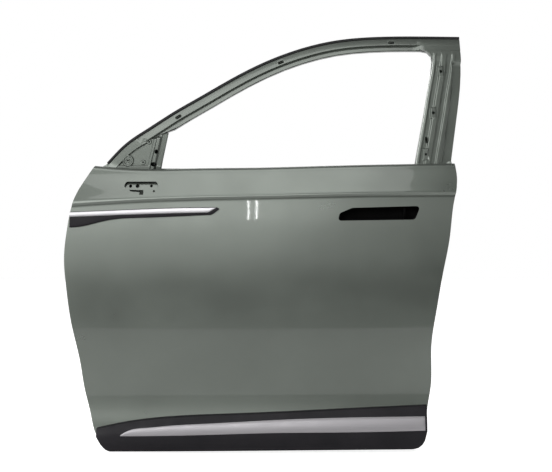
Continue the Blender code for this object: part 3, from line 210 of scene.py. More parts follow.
@dataclass(frozen=True)
class DoorLines:
    """The lines and surfaces that every panel of the door follows.

    front, rear, pillar_rear and window_rear give x by height, and belt, crease and header give height
    by x. shoulder and side give the depth behind the outermost plane by the share of the way down.
    """

    plane: float = -60.0
    belt_z: float = 157.0
    sill_z: float = -656.0
    bow_centre: float = 550.0
    bow_radius: float = 8000.0
    frame_set_back: float = 75.0
    tumblehome: float = 0.35
    tumblehome_curve: float = 0.00025
    front: Curve = field(default_factory=lambda: Curve([
        (157, 26), (66, -25), (-30, -47.2), (-115, -54.8), (-195, -48.2), (-299, -34), (-421, -8),
        (-493, 3), (-563, 21), (-609, 32), (-635, 44), (-656, 64)]))
    rear: Curve = field(default_factory=lambda: Curve([
        (164, 1087), (120, 1090), (49, 1077), (-56, 1063), (-160, 1042), (-265, 1024), (-369, 1010),
        (-491, 1009), (-560, 998), (-620, 990), (-656, 966)]))
    belt: Curve = field(default_factory=lambda: Curve([
        (26, 157), (113, 150), (200, 147), (300, 148.5), (513, 151), (700, 156), (974, 162.5),
        (1087, 164.5)]))
    crease: Curve = field(default_factory=lambda: Curve([
        (-35, 44), (190, 57), (542, 66), (776, 71.5), (1082, 75)]))
    shoulder: Curve = field(default_factory=lambda: Curve([
        (0, 66), (0.04, 59), (0.12, 53.5), (0.35, 43), (0.65, 28.4), (0.9, 16.6), (0.945, 14.5),
        (0.958, 14.1), (0.98, 13.7), (1, 13.35)]))
    side: Curve = field(default_factory=lambda: Curve([
        (0, 13.35), (0.004, 14.6), (0.008, 15.6), (0.012, 16), (0.02, 15.7), (0.036, 14.5), (0.1, 9.7),
        (0.2, 4.1), (0.33, 0), (0.45, 1.5), (0.6, 9), (0.72, 17), (0.8, 19), (0.87, 15), (0.93, 10),
        (1, 12)]))
    header: Curve = field(default_factory=lambda: Curve([
        (59.4, 167), (105.7, 219), (172, 268.7), (245.4, 319), (328.5, 370.3), (412.7, 422.5),
        (507.4, 475.6), (637.9, 529.9), (744.7, 557.5), (851.8, 569.6), (1012, 573.8), (1134, 573.8)]))
    pillar_rear: Curve = field(default_factory=lambda: Curve([
        (160, 1081), (244, 1096.5), (294, 1106), (370, 1120.5), (449, 1132), (500, 1135), (560, 1133)]))
    window_rear: Curve = field(default_factory=lambda: Curve([
        (100, 965), (170, 976), (233, 989.5), (300, 1004.5), (343, 1013.7), (413, 1029), (460, 1040),
        (526, 1050)]))
    header_stations: int = 160
    header_early: float = 30.0
    header_rise_end: float = 900.0

    def bow(self, x: float) -> float:
        """How far the plan curve stands behind the outermost point of the door."""
        return (x - self.bow_centre) ** 2 / (2 * self.bow_radius)

    def skin(self, x: float, z: float) -> float:
        """Outer face of the skin.

        Args:
            x: place along the car.
            z: height.

        Returns:
            The depth of the face there.
        """
        top, fold = self.belt(x), self.crease(x)
        if z >= fold:
            return self.plane + self.bow(x) + self.shoulder((top - z) / (top - fold))
        return self.plane + self.bow(x) + self.side((fold - z) / (fold - self.sill_z))

    def window_frame(self, x: float, z: float) -> float:
        """Outer face of the window frame, which leans in above the belt.

        Args:
            x: place along the car.
            z: height.

        Returns:
            The depth of the face there.
        """
        height = max(z - self.belt_z, 0.0)
        return (self.plane + self.frame_set_back + self.bow(x) + self.tumblehome * height
                + self.tumblehome_curve * height ** 2)

    def header_run(self, distance: float, start: float) -> list[Flat]:
        """Stations along the header from a start, a distance in from its outer edge."""
        path = [(x, self.header(x)) for x in spread(start, self.header.at[-1], self.header_stations)]
        return offset_run(path, -distance)

    def header_x(self, distance: float, z: float) -> float:
        """Where a line a distance in from the header's edge passes a height, on its rising part.

        Args:
            distance: how far in from the edge.
            z: height.

        Returns:
            The place along the car.
        """
        whole = self.header_run(distance, self.header_early)
        run = [point for point in whole if point[0] < self.header_rise_end]
        return float(np.interp(z, [point[1] for point in run], [point[0] for point in run]))


class Bench:
    """Steps that a modeller takes by hand, on one piece at a time."""

    @staticmethod
    def clear() -> None:
        """Leaves edit mode and deselects everything."""
        if bpy.context.mode != "OBJECT":
            bpy.ops.object.mode_set(mode="OBJECT")
        bpy.ops.object.select_all(action="DESELECT")

    @staticmethod
    def take(piece: bpy.types.Object) -> None:
        """Makes a piece the only one selected, and active.

        Args:
            piece: the piece.
        """
        Bench.clear()
        piece.select_set(True)
        bpy.context.view_layer.objects.active = piece

    @staticmethod
    def edit(piece: bpy.types.Object) -> None:
        """Enters edit mode on a piece with all of it selected.

        Args:
            piece: the piece.
        """
        Bench.take(piece)
        bpy.ops.object.mode_set(mode="EDIT")
        bpy.ops.mesh.select_all(action="SELECT")

    @staticmethod
    def shaped(piece: bpy.types.Object, places: Sequence[Point]) -> None:
        """Puts a piece's vertices at their places.

        Args:
            piece: the piece.
            places: one place for each vertex, in millimetres.
        """
        flat = np.array(places, np.float32).reshape(-1) * MM
        piece.data.vertices.foreach_set("co", flat)
        piece.data.update()

    @staticmethod
    def grid(name: str, rows: Sequence[Sequence[Point]]) -> bpy.types.Object:
        """Sheet from a grid primitive whose rows are drawn through the given sections.

        Args:
            name: the piece's name.
            rows: sections with as many points each.

        Returns:
            The open sheet.
        """
        Bench.clear()
        across, down = len(rows[0]) - 1, len(rows) - 1
        bpy.ops.mesh.primitive_grid_add(x_subdivisions=across, y_subdivisions=down, size=1)
        piece = bpy.context.object
        piece.name = piece.data.name = name
        Bench.shaped(piece, [place for row in rows for place in row])
        return piece

    @staticmethod
    def prism(name: str, outline: Sequence[Flat], near: Depth, far: Depth) -> bpy.types.Object:
        """Closed block between two surfaces, from a filled circle drawn to an outline and extruded.

        Args:
            name: the piece's name.
            outline: (x, z) points.
            near: its outer surface.
            far: its inner surface.

        Returns:
            The block, with its faces outward.
        """
        Bench.clear()
        bpy.ops.mesh.primitive_circle_add(vertices=len(outline), fill_type="NGON")
        piece = bpy.context.object
        piece.name = piece.data.name = name
        Bench.shaped(piece, lift(outline, near))
        Bench.edit(piece)
        bpy.ops.mesh.extrude_region_move()
        bpy.ops.object.mode_set(mode="OBJECT")
        for vertex in piece.data.vertices:
            if vertex.select:
                vertex.co.y = far(vertex.co.x / MM, vertex.co.z / MM) * MM
        Bench.outward(piece)
        return piece

    @staticmethod
    def outward(piece: bpy.types.Object) -> None:
        """Merges doubled points and turns every face outwards.

        Args:
            piece: the piece.
        """
        Bench.edit(piece)
        bpy.ops.mesh.remove_doubles(threshold=MERGE_GAP)
        bpy.ops.mesh.normals_make_consistent(inside=False)
        bpy.ops.object.mode_set(mode="OBJECT")

    @staticmethod
    def apply(piece: bpy.types.Object, kind: str, **settings: object) -> None:
        """Adds a modifier and applies it.

        Args:
            piece: the piece.
            kind: the modifier's type.
            settings: its settings by name.
        """
        Bench.take(piece)
        modifier = piece.modifiers.new(kind.title(), kind)
        for name, value in settings.items():
            setattr(modifier, name, value)
        bpy.ops.object.modifier_apply(modifier=modifier.name)

    @staticmethod
    def cut(piece: bpy.types.Object, cutter: bpy.types.Object, operation: str = "DIFFERENCE") -> None:
        """Combines a piece with a block by Boolean, and removes the block."""
        Bench.apply(piece, "BOOLEAN", operation=operation, solver="EXACT", object=cutter)
        bpy.data.objects.remove(cutter)

    @staticmethod
    def pierce(piece: bpy.types.Object, outline: Sequence[Flat], face: Depth, reach: Pair) -> None:
        """Cuts a hole through a sheet.

        Args:
            piece: the sheet.
            outline: the hole's (x, z) points.
            face: the surface that the cutter is measured from.
            reach: how far before that surface the cutter starts and behind it ends.
        """
        before, after = reach
        Bench.cut(piece, Bench.prism("hole_cutter", outline, behind(face, -before), behind(face, after)))

    @staticmethod
    def wall(piece: bpy.types.Object, thickness: float) -> None:
        """Gives an open sheet its thickness on the inboard side.

        Args:
            piece: the sheet.
            thickness: in millimetres.
        """
        mesh = piece.data
        facing = sum(face.normal.y * face.area for face in mesh.polygons)
        if facing > 0:
            mesh.flip_normals()
        Bench.apply(piece, "SOLIDIFY", thickness=thickness * MM, offset=-1.0, use_even_offset=True,
                    use_quality_normals=True)

    @staticmethod
    def smooth(piece: bpy.types.Object, angle: float) -> None:
        """Shades a piece smooth, with sharp edges past an angle in degrees."""
        Bench.take(piece)
        bpy.ops.object.shade_smooth_by_angle(angle=math.radians(angle))

    @staticmethod
    def soften(piece: bpy.types.Object, width: float, angle: float = 35.0) -> None:
        """Rounds the edges of a piece that are sharper than an angle, by a width in millimetres."""
        Bench.apply(piece, "BEVEL", width=width * MM, segments=2, limit_method="ANGLE",
                    angle_limit=math.radians(angle), use_clamp_overlap=True, harden_normals=False)


class Slot(Enum):
    """The record's material slots."""

    PAINT = "body_paint"
    PLASTIC = "black_plastic"
    SATIN = "satin_silver"
    RUBBER = "black_rubber"
    STEEL = "plated_steel"
    MASTIC = "grey_mastic"


class Look(Enum):
    """Finishes of single pieces that differ from their slot's usual one: a near-black with painted shade
    for the handle pocket and a paler satin with a painted highlight for the spear strip.
    """

    DEEP_BLACK = "deep_black"
    PALE_SATIN = "pale_satin"


class NodeTree:
    """Short ways to add nodes to a material."""

    noise_roughness: float = 0.55
    noise_span: Pair = (0.3, 0.7)

    def __init__(self, name: str) -> None:
        """Starts a material with its Principled shader.

        Args:
            name: the material's name.
        """
        self.material = bpy.data.materials.new(name)
        self.material.use_nodes = True
        self.nodes = self.material.node_tree.nodes
        self.links = self.material.node_tree.links
        self.shader = self.nodes["Principled BSDF"]
        self.place = self.nodes.new("ShaderNodeTexCoord").outputs["Object"]

    def set(self, **values: object) -> None:
        """Sets the shader's own sockets, named with underscores for spaces."""
        for name, value in values.items():
            self.shader.inputs[name.replace("_", " ")].default_value = value

    def noise(self, scale: float, detail: float, stretch: Point = (1, 1, 1)) -> Socket:
        """Noise over the piece.

        Args:
            scale: how fine the noise is, in spots to a metre.
            detail: how many finer layers it has.
            stretch: how much denser it runs along each axis.

        Returns:
            The socket that gives the noise.
        """
        mapping = self.nodes.new("ShaderNodeMapping")
        mapping.inputs["Scale"].default_value = stretch
        self.links.new(self.place, mapping.inputs["Vector"])
        noise = self.nodes.new("ShaderNodeTexNoise")
        noise.inputs["Scale"].default_value = scale
        noise.inputs["Detail"].default_value = detail
        noise.inputs["Roughness"].default_value = self.noise_roughness
        self.links.new(mapping.outputs["Vector"], noise.inputs["Vector"])
        return noise.outputs["Fac"]

    def colour(self, source: Socket, span: Pair, low: Point, high: Point) -> None:
        """Colours the shader along a source.

        Args:
            source: the socket to follow.
            span: where on the source the colour starts and ends its change.
            low: the colour at the start.
            high: the colour at the end.
        """
        ramp = self.nodes.new("ShaderNodeValToRGB")
        for element, position, tint in zip(ramp.color_ramp.elements, span, (low, high)):
            element.position = position
            element.color = (*tint, 1)
        self.links.new(source, ramp.inputs["Fac"])
        self.links.new(ramp.outputs["Color"], self.shader.inputs["Base Color"])

    def wear(self, source: Socket, roughness: float, play: Pair) -> None:
        """Varies the shader's roughness along a source.

        Args:
            source: the socket to follow.
            roughness: the middle value.
            play: how far below and above it the roughness goes.
        """
        mapped = self.nodes.new("ShaderNodeMapRange")
        ends = (*self.noise_span, roughness - play[0], roughness + play[1])
        for name, value in zip(("From Min", "From Max", "To Min", "To Max"), ends):
            mapped.inputs[name].default_value = value
        self.links.new(source, mapped.inputs["Value"])
        self.links.new(mapped.outputs["Result"], self.shader.inputs["Roughness"])

    def bump(self, source: Socket, distance: float, strength: float, socket: str = "Normal") -> None:
        """Bumps the surface or its coat.

        Args:
            source: the socket that gives the height.
            distance: the full height in metres.
            strength: the share of it that shows.
            socket: the shader's socket to feed.
        """
        bump = self.nodes.new("ShaderNodeBump")
        bump.inputs["Distance"].default_value = distance
        bump.inputs["Strength"].default_value = strength
        self.links.new(source, bump.inputs["Height"])
        self.links.new(bump.outputs["Normal"], self.shader.inputs[socket])


@dataclass(frozen=True)
class CarPaint:
    """Sage-green metallic base under a clear coat, with a faint cloud and a slight orange peel.

    Here and in the finishes below, a noise is a pair of scale and detail.
    """

    name: str = "door_paint"
    low: Point = (0.205, 0.23, 0.203)
    high: Point = (0.23, 0.258, 0.228)
    metallic: float = 0.7
    roughness: float = 0.32
    coat: float = 0.9
    coat_roughness: float = 0.035
    coat_ior: float = 1.5
    cloud: Pair = (3.0, 5)
    cloud_span: Pair = (0.35, 0.68)
    flake: Pair = (7.0, 6)
    flake_play: Pair = (0.05, 0.06)
    peel: Pair = (220.0, 2)
    peel_height: float = 0.0001
    peel_strength: float = 0.06

    def make(self) -> bpy.types.Material:
        """Builds the material.

        Returns:
            The material.
        """
        tree = NodeTree(self.name)
        tree.set(Metallic=self.metallic, Coat_Weight=self.coat, Coat_Roughness=self.coat_roughness,
                 Coat_IOR=self.coat_ior)
        tree.colour(tree.noise(*self.cloud), self.cloud_span, self.low, self.high)
        tree.wear(tree.noise(*self.flake), self.roughness, self.flake_play)
        tree.bump(tree.noise(*self.peel), self.peel_height, self.peel_strength, "Coat Normal")
        return tree.material


@dataclass(frozen=True)
class Moulding:
    """Black moulded plastic with a fine grain."""

    name: str = "black_moulding"
    low: Point = (0.012, 0.011, 0.014)
    high: Point = (0.02, 0.018, 0.022)
    roughness: float = 0.42
    shine: float = 0.28
    cloud: Pair = (9.0, 6)
    cloud_span: Pair = (0.35, 0.7)
    rub: Pair = (30.0, 5)
    rub_play: Pair = (0.07, 0.1)
    grain: Pair = (900.0, 3)
    grain_height: float = 0.00015
    grain_strength: float = 0.35

    def make(self) -> bpy.types.Material:
        """Builds the material.

        Returns:
            The material.
        """
        tree = NodeTree(self.name)
        tree.set(Specular_IOR_Level=self.shine)
        tree.colour(tree.noise(*self.cloud), self.cloud_span, self.low, self.high)
        tree.wear(tree.noise(*self.rub), self.roughness, self.rub_play)
        tree.bump(tree.noise(*self.grain), self.grain_height, self.grain_strength)
        return tree.material


@dataclass(frozen=True)
class SatinSilver:
    """Satin silver trim with fine lengthwise brushing."""

    name: str = "satin_trim"
    low: Point = (0.44, 0.425, 0.445)
    high: Point = (0.49, 0.475, 0.495)
    metallic: float = 0.55
    roughness: float = 0.36
    coat: float = 0.3
    coat_roughness: float = 0.15
    brush: Pair = (90.0, 3)
    brush_stretch: Point = (0.02, 1, 22)
    brush_span: Pair = (0.3, 0.7)
    brush_height: float = 0.00002
    brush_strength: float = 0.12
    rub: Pair = (18.0, 5)
    rub_play: Pair = (0.06, 0.08)

    def make(self) -> bpy.types.Material:
        """Builds the material.

        Returns:
            The material.
        """
        tree = NodeTree(self.name)
        tree.set(Metallic=self.metallic, Coat_Weight=self.coat, Coat_Roughness=self.coat_roughness)
        brushed = tree.noise(*self.brush, self.brush_stretch)
        tree.colour(brushed, self.brush_span, self.low, self.high)
        tree.wear(tree.noise(*self.rub), self.roughness, self.rub_play)
        tree.bump(brushed, self.brush_height, self.brush_strength)
        return tree.material


@dataclass(frozen=True)
class Dull:
    """Rubber, mastic or another dull filled material."""

    name: str
    low: Point
    high: Point
    roughness: float
    cloud: Pair = (24.0, 6)
    cloud_span: Pair = (0.3, 0.72)
    rub: Pair = (50.0, 4)
    rub_play: Pair = (0.08, 0.08)
    grain: Pair = (400.0, 4)
    grain_height: float = 0.0004
    grain_strength: float = 0.3

    def make(self) -> bpy.types.Material:
        """Builds the material.

        Returns:
            The material.
        """
        tree = NodeTree(self.name)
        tree.colour(tree.noise(*self.cloud), self.cloud_span, self.low, self.high)
        tree.wear(tree.noise(*self.rub), self.roughness, self.rub_play)
        tree.bump(tree.noise(*self.grain), self.grain_height, self.grain_strength)
        return tree.material


@dataclass(frozen=True)
class PlatedSteel:
    """Zinc-plated steel with a faint mottle."""

    name: str = "zinc_plate"
    low: Point = (0.42, 0.42, 0.4)
    high: Point = (0.6, 0.59, 0.55)
    metallic: float = 0.9
    roughness: float = 0.36
    mottle: Pair = (45.0, 6)
    mottle_span: Pair = (0.32, 0.7)
    rub: Pair = (70.0, 5)
    rub_play: Pair = (0.1, 0.14)
    grain: Pair = (500.0, 3)
    grain_height: float = 0.0001
    grain_strength: float = 0.15

    def make(self) -> bpy.types.Material:
        """Builds the material.

        Returns:
            The material.
        """
        tree = NodeTree(self.name)
        tree.set(Metallic=self.metallic)
        tree.colour(tree.noise(*self.mottle), self.mottle_span, self.low, self.high)
        tree.wear(tree.noise(*self.rub), self.roughness, self.rub_play)
        tree.bump(tree.noise(*self.grain), self.grain_height, self.grain_strength)
        return tree.material


class Finishes:
    """One made material for each slot and each special look, shared by all pieces."""

    def __init__(self) -> None:
        """Makes every material."""
        rubber = Dull("black_extrusion", (0.01, 0.01, 0.011), (0.02, 0.02, 0.021), roughness=0.62)
        mastic = Dull("grey_filler", (0.08, 0.08, 0.082), (0.14, 0.14, 0.138), roughness=0.86,
                      grain=(260.0, 4), grain_strength=0.5)
        # This near-black is painted shade: black plastic made far darker than the usual moulding, so the
        # handle carrier stands in for the shade inside the handle pocket.
        deep_black = Moulding("deep_black", (0.002, 0.002, 0.002), (0.004, 0.004, 0.004), roughness=0.75,
                              shine=0.1, grain=(700.0, 3))
        # This paler, shinier satin is a painted highlight: a lit copy of the satin trim for the spear strip
        # on the shoulder, which catches more light than the accent low on the cladding.
        pale_satin = SatinSilver("pale_satin", (0.66, 0.65, 0.67), (0.72, 0.71, 0.73), metallic=0.9,
                                 roughness=0.3)
        self.made = {
            Slot.PAINT: CarPaint().make(),
            Slot.PLASTIC: Moulding().make(),
            Slot.SATIN: SatinSilver().make(),
            Slot.RUBBER: rubber.make(),
            Slot.STEEL: PlatedSteel().make(),
            Slot.MASTIC: mastic.make(),
            Look.DEEP_BLACK: deep_black.make(),
            Look.PALE_SATIN: pale_satin.make(),
        }

    def dress(self, piece: bpy.types.Object, slot: Slot, nodes: Sequence[str] = (),
              look: Look | None = None) -> None:
        """Paints a finished piece and ties it to the frame.

        Args:
            piece: the finished piece.
            slot: its slot in the record.
            nodes: the CAD nodes that it stands for.
            look: a finish that differs from the slot's usual one.
        """
        piece.data.materials.clear()
        piece.data.materials.append(self.made[look or slot])
        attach(piece, BODY)
        if nodes:
            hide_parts(*nodes)


@dataclass
class OuterSkin:
    """Skin of the door: shoulder, crease and side, with its two openings and its folded hem.

    The corners of an opening are (x, z, radius).
    """

    lines: DoorLines
    thickness: float = 0.8
    columns: int = 110
    shoulder_rows: int = 26
    side_rows: int = 96
    crease_power: float = 1.9
    hem_depth: float = 3.7
    hem_width: float = 9.0
    hem_top: float = 98.0
    hem_sheet: float = 0.7
    hem_gap: float = 0.05
    settle_rounds: int = 8
    handle: Table = ((739, -6, 9), (963, -2.5, 12), (979.5, 37, 10), (781, 31.5, 14), (744, 16, 12))
    mirror: Table = ((123, 109, 8), (212, 109, 10), (219, 90, 10), (201, 63, 8), (172, 64, 6), (145, 75, 6),
                     (115, 95, 8))
    cutter_reach: Pair = (10, 10)

    def station(self, share: float, part: float, shoulder: bool) -> Flat:
        """Place on the skin.

        Args:
            share: share of the skin's length.
            part: share of the height of the shoulder or of the side.
            shoulder: whether the place is on the shoulder.

        Returns:
            The place as (x, z).
        """
        lines = self.lines
        x = lines.bow_centre
        for _ in range(self.settle_rounds):
            start, end = (lines.belt(x), lines.crease(x)) if shoulder else (lines.crease(x), lines.sill_z)
            z = start + (end - start) * part
            x = lines.front(z) + (lines.rear(z) - lines.front(z)) * share
        return x, z

    def rows(self) -> list[list[Point]]:
        """Sections from the belt to the sill, closer together at the belt roll and the crease.

        Returns:
            The sections, from the top down.
        """
        parts = [((1 - math.cos(math.pi * share)) / 2, True) for share in spread(0, 1, self.shoulder_rows)]
        parts += [(share ** self.crease_power, False) for share in spread(0, 1, self.side_rows)[1:]]
        shares = spread(0, 1, self.columns)
        return [lift([self.station(share, part, shoulder) for share in shares], self.lines.skin)
                for part, shoulder in parts]

    def build(self) -> bpy.types.Object:
        """Models the skin with its two openings.

        Returns:
            The skin.
        """
        skin = Bench.grid("door_skin", self.rows())
        Bench.wall(skin, self.thickness)
        for outline in (self.handle, self.mirror):
            Bench.pierce(skin, rounded(outline), self.lines.skin, self.cutter_reach)
        Bench.smooth(skin, angle=60)
        return skin

    def build_hem(self) -> bpy.types.Object:
        """Models the folded hem along the front, the sill and the rear.

        Returns:
            The hem.
        """
        rows = self.rows()
        low = self.lines.sill_z
        edge = [row[0] for row in rows if row[0][2] < self.hem_top] + list(rows[-1][1:-1])
        edge += [row[-1] for row in rows if row[-1][2] < self.hem_top][::-1]
        flat = [(x, z) for x, _, z in edge]
        inner = [(x, max(z, low + self.hem_width)) for x, z in offset_run(flat, self.hem_width)]
        depth = self.lines.skin
        near, back = behind(depth, self.thickness + self.hem_gap), behind(depth, self.hem_depth)
        hem = Bench.grid("skin_hem", [lift(flat, near), lift(flat, back), lift(inner, back)])
        Bench.wall(hem, self.hem_sheet)
        Bench.smooth(hem, angle=40)
        return hem

    def dress(self, finishes: Finishes) -> None:
        """Builds and paints the skin and its hem."""
        finishes.dress(self.build(), Slot.PAINT, ["outer_panel"])
        finishes.dress(self.build_hem(), Slot.PAINT)


@dataclass
class WindowHeader:
    """Header over the window: edge flange, painted face with slots, dark step, flange and black finisher.

    A row of the section or of the seal's profile is (distance in from the edge, depth), and past the
    face the depth is a share of the step. A row of fade, narrow or step_span is (x, share).
    """

    lines: DoorLines
    thickness: float = 1.2
    section: Table = ((2, 2), (7.6, 2), (8.4, 1.4), (9, 0.4), (9.8, 0), (29.2, 0), (30, 0.2), (30.5, 0.6),
                      (30.9, 0.95), (31.5, 1), (32.3, 1), (46, 1))
    edge_flange: float = 9.0
    face_end: float = 29.2
    step_end: float = 33.5
    step: float = 8.0
    flange_root: float = 33.2
    fade: Table = ((185, 0.12), (240, 1))
    narrow: Table = ((60, 0.86), (105, 0.9), (160, 1))
    step_span: Table = ((150, 0), (172, 1), (990, 1), (1012, 0.04))
    face_start: float = 46.0
    edge_start: float = 59.4
    slots: tuple[float, ...] = (266, 575, 920)
    slot_line: float = 21.0
    slot_size: Pair = (19.5, 10)
    slot_reach: Pair = (6, 8)
    seal_profile: Table = ((-0.5, 1.6), (-0.5, 0), (0.4, -1.2), (2, -1.7), (4.5, -1.7), (6.3, -1.1), (7, 0),
                           (7, 1.6))

    def section_run(self, distance: float, outer: Sequence[Flat]) -> list[Flat]:
        """One line of the section along the header, narrowed towards the front.

        Args:
            distance: how far in from the header's edge the line is at full width.
            outer: the edge itself.

        Returns:
            The line's (x, z) points.
        """
        placed = []
        for (ox, oz), (x, z) in zip(outer, self.lines.header_run(distance, self.face_start)):
            share = float(np.interp(ox, *zip(*self.narrow))) if distance > self.edge_flange else 1.0
            if distance > self.step_end:
                root = self.flange_root / distance
                share *= root + (1 - root) * float(np.interp(ox, *zip(*self.fade)))
            placed.append((ox + (x - ox) * share, oz + (z - oz) * share))
        return placed

    def build(self) -> bpy.types.Object:
        """Models the header stamping with its slots.

        Returns:
            The header.
        """
        face = self.lines.window_frame
        outer = self.lines.header_run(0, self.face_start)
        rows = []
        for distance, depth in self.section:
            placed = self.section_run(distance, outer)
            if distance <= self.face_end:
                rows.append(lift(placed, behind(face, depth)))
                continue
            drops = [self.step * depth * float(np.interp(ox, *zip(*self.step_span))) for ox, _ in outer]
            rows.append([(x, face(x, z) + drop, z) for (x, z), drop in zip(placed, drops)])
        header = Bench.grid("window_header", rows)
        Bench.wall(header, self.thickness)
        for at in self.slots:
            Bench.pierce(header, self.slot_outline(at), face, self.slot_reach)
        Bench.smooth(header, angle=30)
        return header

    def slot_outline(self, at: float) -> list[Flat]:
        """Outline of one slot, which lies along the header.

        Args:
            at: the slot's place along the car.

        Returns:
            The slot's (x, z) points.
        """
        run = self.lines.header_run(self.slot_line, self.edge_start)
        near = min(range(len(run) - 1), key=lambda k: abs(run[k][0] - at))
        here, way = Vector(run[near]), (Vector(run[near + 1]) - Vector(run[near])).normalized()
        across = Vector((-way.y, way.x))
        length, width = self.slot_size
        outline = []
        for a, b in ((-1, -1), (1, -1), (1, 1), (-1, 1)):
            corner = here + way * a * length / 2 + across * b * width / 2
            outline.append((corner.x, corner.y, width / 2))
        return rounded(outline)

    def build_seal(self) -> bpy.types.Object:
        """Models the black finisher along the header's edge, closed at its ends.

        Returns:
            The finisher.
        """
        rows = [lift(self.lines.header_run(inward, self.edge_start), behind(self.lines.window_frame, depth))
                for inward, depth in self.seal_profile]
        seal = Bench.grid("header_finisher", [*rows, rows[0]])
        Bench.edit(seal)
        bpy.ops.mesh.remove_doubles(threshold=MERGE_GAP)
        bpy.ops.mesh.select_all(action="DESELECT")
        bpy.ops.mesh.select_mode(type="EDGE")
        bpy.ops.mesh.select_non_manifold()
        bpy.ops.mesh.edge_face_add()
        bpy.ops.object.mode_set(mode="OBJECT")
        Bench.outward(seal)
        Bench.smooth(seal, angle=50)
        return seal

    def dress(self, finishes: Finishes) -> None:
        """Builds and paints the header and its finisher."""
        finishes.dress(self.build(), Slot.PAINT, ["header_outer"])
        finishes.dress(self.build_seal(), Slot.RUBBER, ["header_seal"])


@dataclass
class RearPillar:
    """Rear pillar of the window frame: lip, channel, ribs and embossed pads, running up into the header.

    A row of the profile is (distance behind the window's edge, depth), a pad is (x, z, tilt) and a hole
    is (x, z, radius, stretch), where the stretch moves its two halves apart.
    """

    lines: DoorLines
    thickness: float = 1.1
    span: Pair = (96.0, 529.5)
    edge_top: float = 526.0
    edge_inset: float = 1.2
    corner: float = 47.0
    band: float = 29.5
    band_depth: float = 23.4
    band_top: Pair = (476.0, 494.0)
    band_ramp: Pair = (-1.0, 3.0)
    columns: int = 110
    rows: int = 240
    profile: Table = ((0, 13), (1.2, 9), (3, 7.4), (7, 7), (8.6, 7.6), (10.2, 10.6), (12, 11), (22.5, 11),
                      (24.4, 10.4), (26.4, 5.6), (28.4, 5), (40.5, 5), (42.3, 5.6), (44.2, 8.8), (46, 9.2),
                      (55.5, 9.2), (57.2, 8.6), (59, 4.6), (60.8, 4), (67.5, 4), (69, 4.5), (70.6, 6.6),
                      (72.4, 7), (160, 7))
    flat_span: Pair = (478.0, 522.0)
    flat_depth: float = 0.9
    lip_depth: float = 10.0
    lip_width: float = 2.4
    pads: Table = ((1067.2, 456.6, -0.02), (1035.2, 322.3, -0.05), (1005.5, 192.8, -0.3))
    pad_half: Pair = (8.5, 17.5)
    pad_margin: float = 1.2
    pad_slope: float = 3.6
    pad_depth: float = 3.2
    holes: Table = ((1067.2, 456.6, 4.6, 0.0), (1035.2, 322.3, 4.6, 0.0), (1010.5, 237.5, 4.2, 6.0),
                    (1005.5, 192.8, 3.6, 0.0))
    hole_reach: Pair = (8, 8)

    def left(self, z: float) -> float:
        """Window edge, with its round upper corner.

        Args:
            z: height.

        Returns:
            The place along the car.
        """
        edge = self.lines.window_rear(min(z, self.edge_top))
        rise = z - (self.span[1] - self.corner)
        if rise <= 0:
            return edge
        return edge - self.corner + math.sqrt(max(self.corner ** 2 - rise ** 2, 0.0))

    def right(self, z: float) -> float:
        """Rear edge, just inside the inner panel's flange."""
        return self.lines.pillar_rear(z) - self.edge_inset

    def depth(self, x: float, z: float) -> float:
        """Outer face of the stamping.

        Args:
            x: place along the car.
            z: height.

        Returns:
            The depth of the face there.
        """
        across = x - self.lines.window_rear(min(z, self.edge_top))
        flat = ease(z, *self.flat_span)
        drop = float(np.interp(max(across, 0.0), *zip(*self.profile)))
        half_x, half_z = self.pad_half
        for at_x, at_z, tilt in self.pads:
            inside = half_x + self.pad_margin - abs(x - at_x), half_z + self.pad_margin - abs(z - at_z)
            mask = ease(min(inside), 0, self.pad_slope)
            drop += (self.pad_depth + tilt * (z - at_z) - drop) * mask
        lip = self.lip_depth * (1 - ease(x - self.left(z), 0, self.lip_width)) * flat
        drop = drop * (1 - flat) + self.flat_depth * flat + lip
        beyond = x - self.lines.pillar_rear(z) + self.band
        on_band = ease(beyond, *self.band_ramp) * (1 - ease(z, *self.band_top))
        return self.lines.window_frame(x, z) + drop * (1 - on_band) + self.band_depth * on_band

    def build(self) -> bpy.types.Object:
        """Models the pillar with its holes.

        Returns:
            The pillar.
        """
        sections = []
        for z in spread(*self.span, self.rows):
            xs = spread(self.left(z), self.right(z), self.columns)
            sections.append([(x, self.depth(x, z), z) for x in xs])
        pillar = Bench.grid("rear_pillar", sections)
        Bench.wall(pillar, self.thickness)
        for x, z, radius, stretch in self.holes:
            ring = [(cx, cz + math.copysign(stretch, cz - z)) for cx, cz in circle(x, z, radius)]
            Bench.pierce(pillar, ring, self.depth, self.hole_reach)
        Bench.smooth(pillar, angle=30)
        return pillar

    def dress(self, finishes: Finishes) -> None:
        """Builds and paints the pillar."""
        finishes.dress(self.build(), Slot.PAINT, ["b_pillar_outer"])


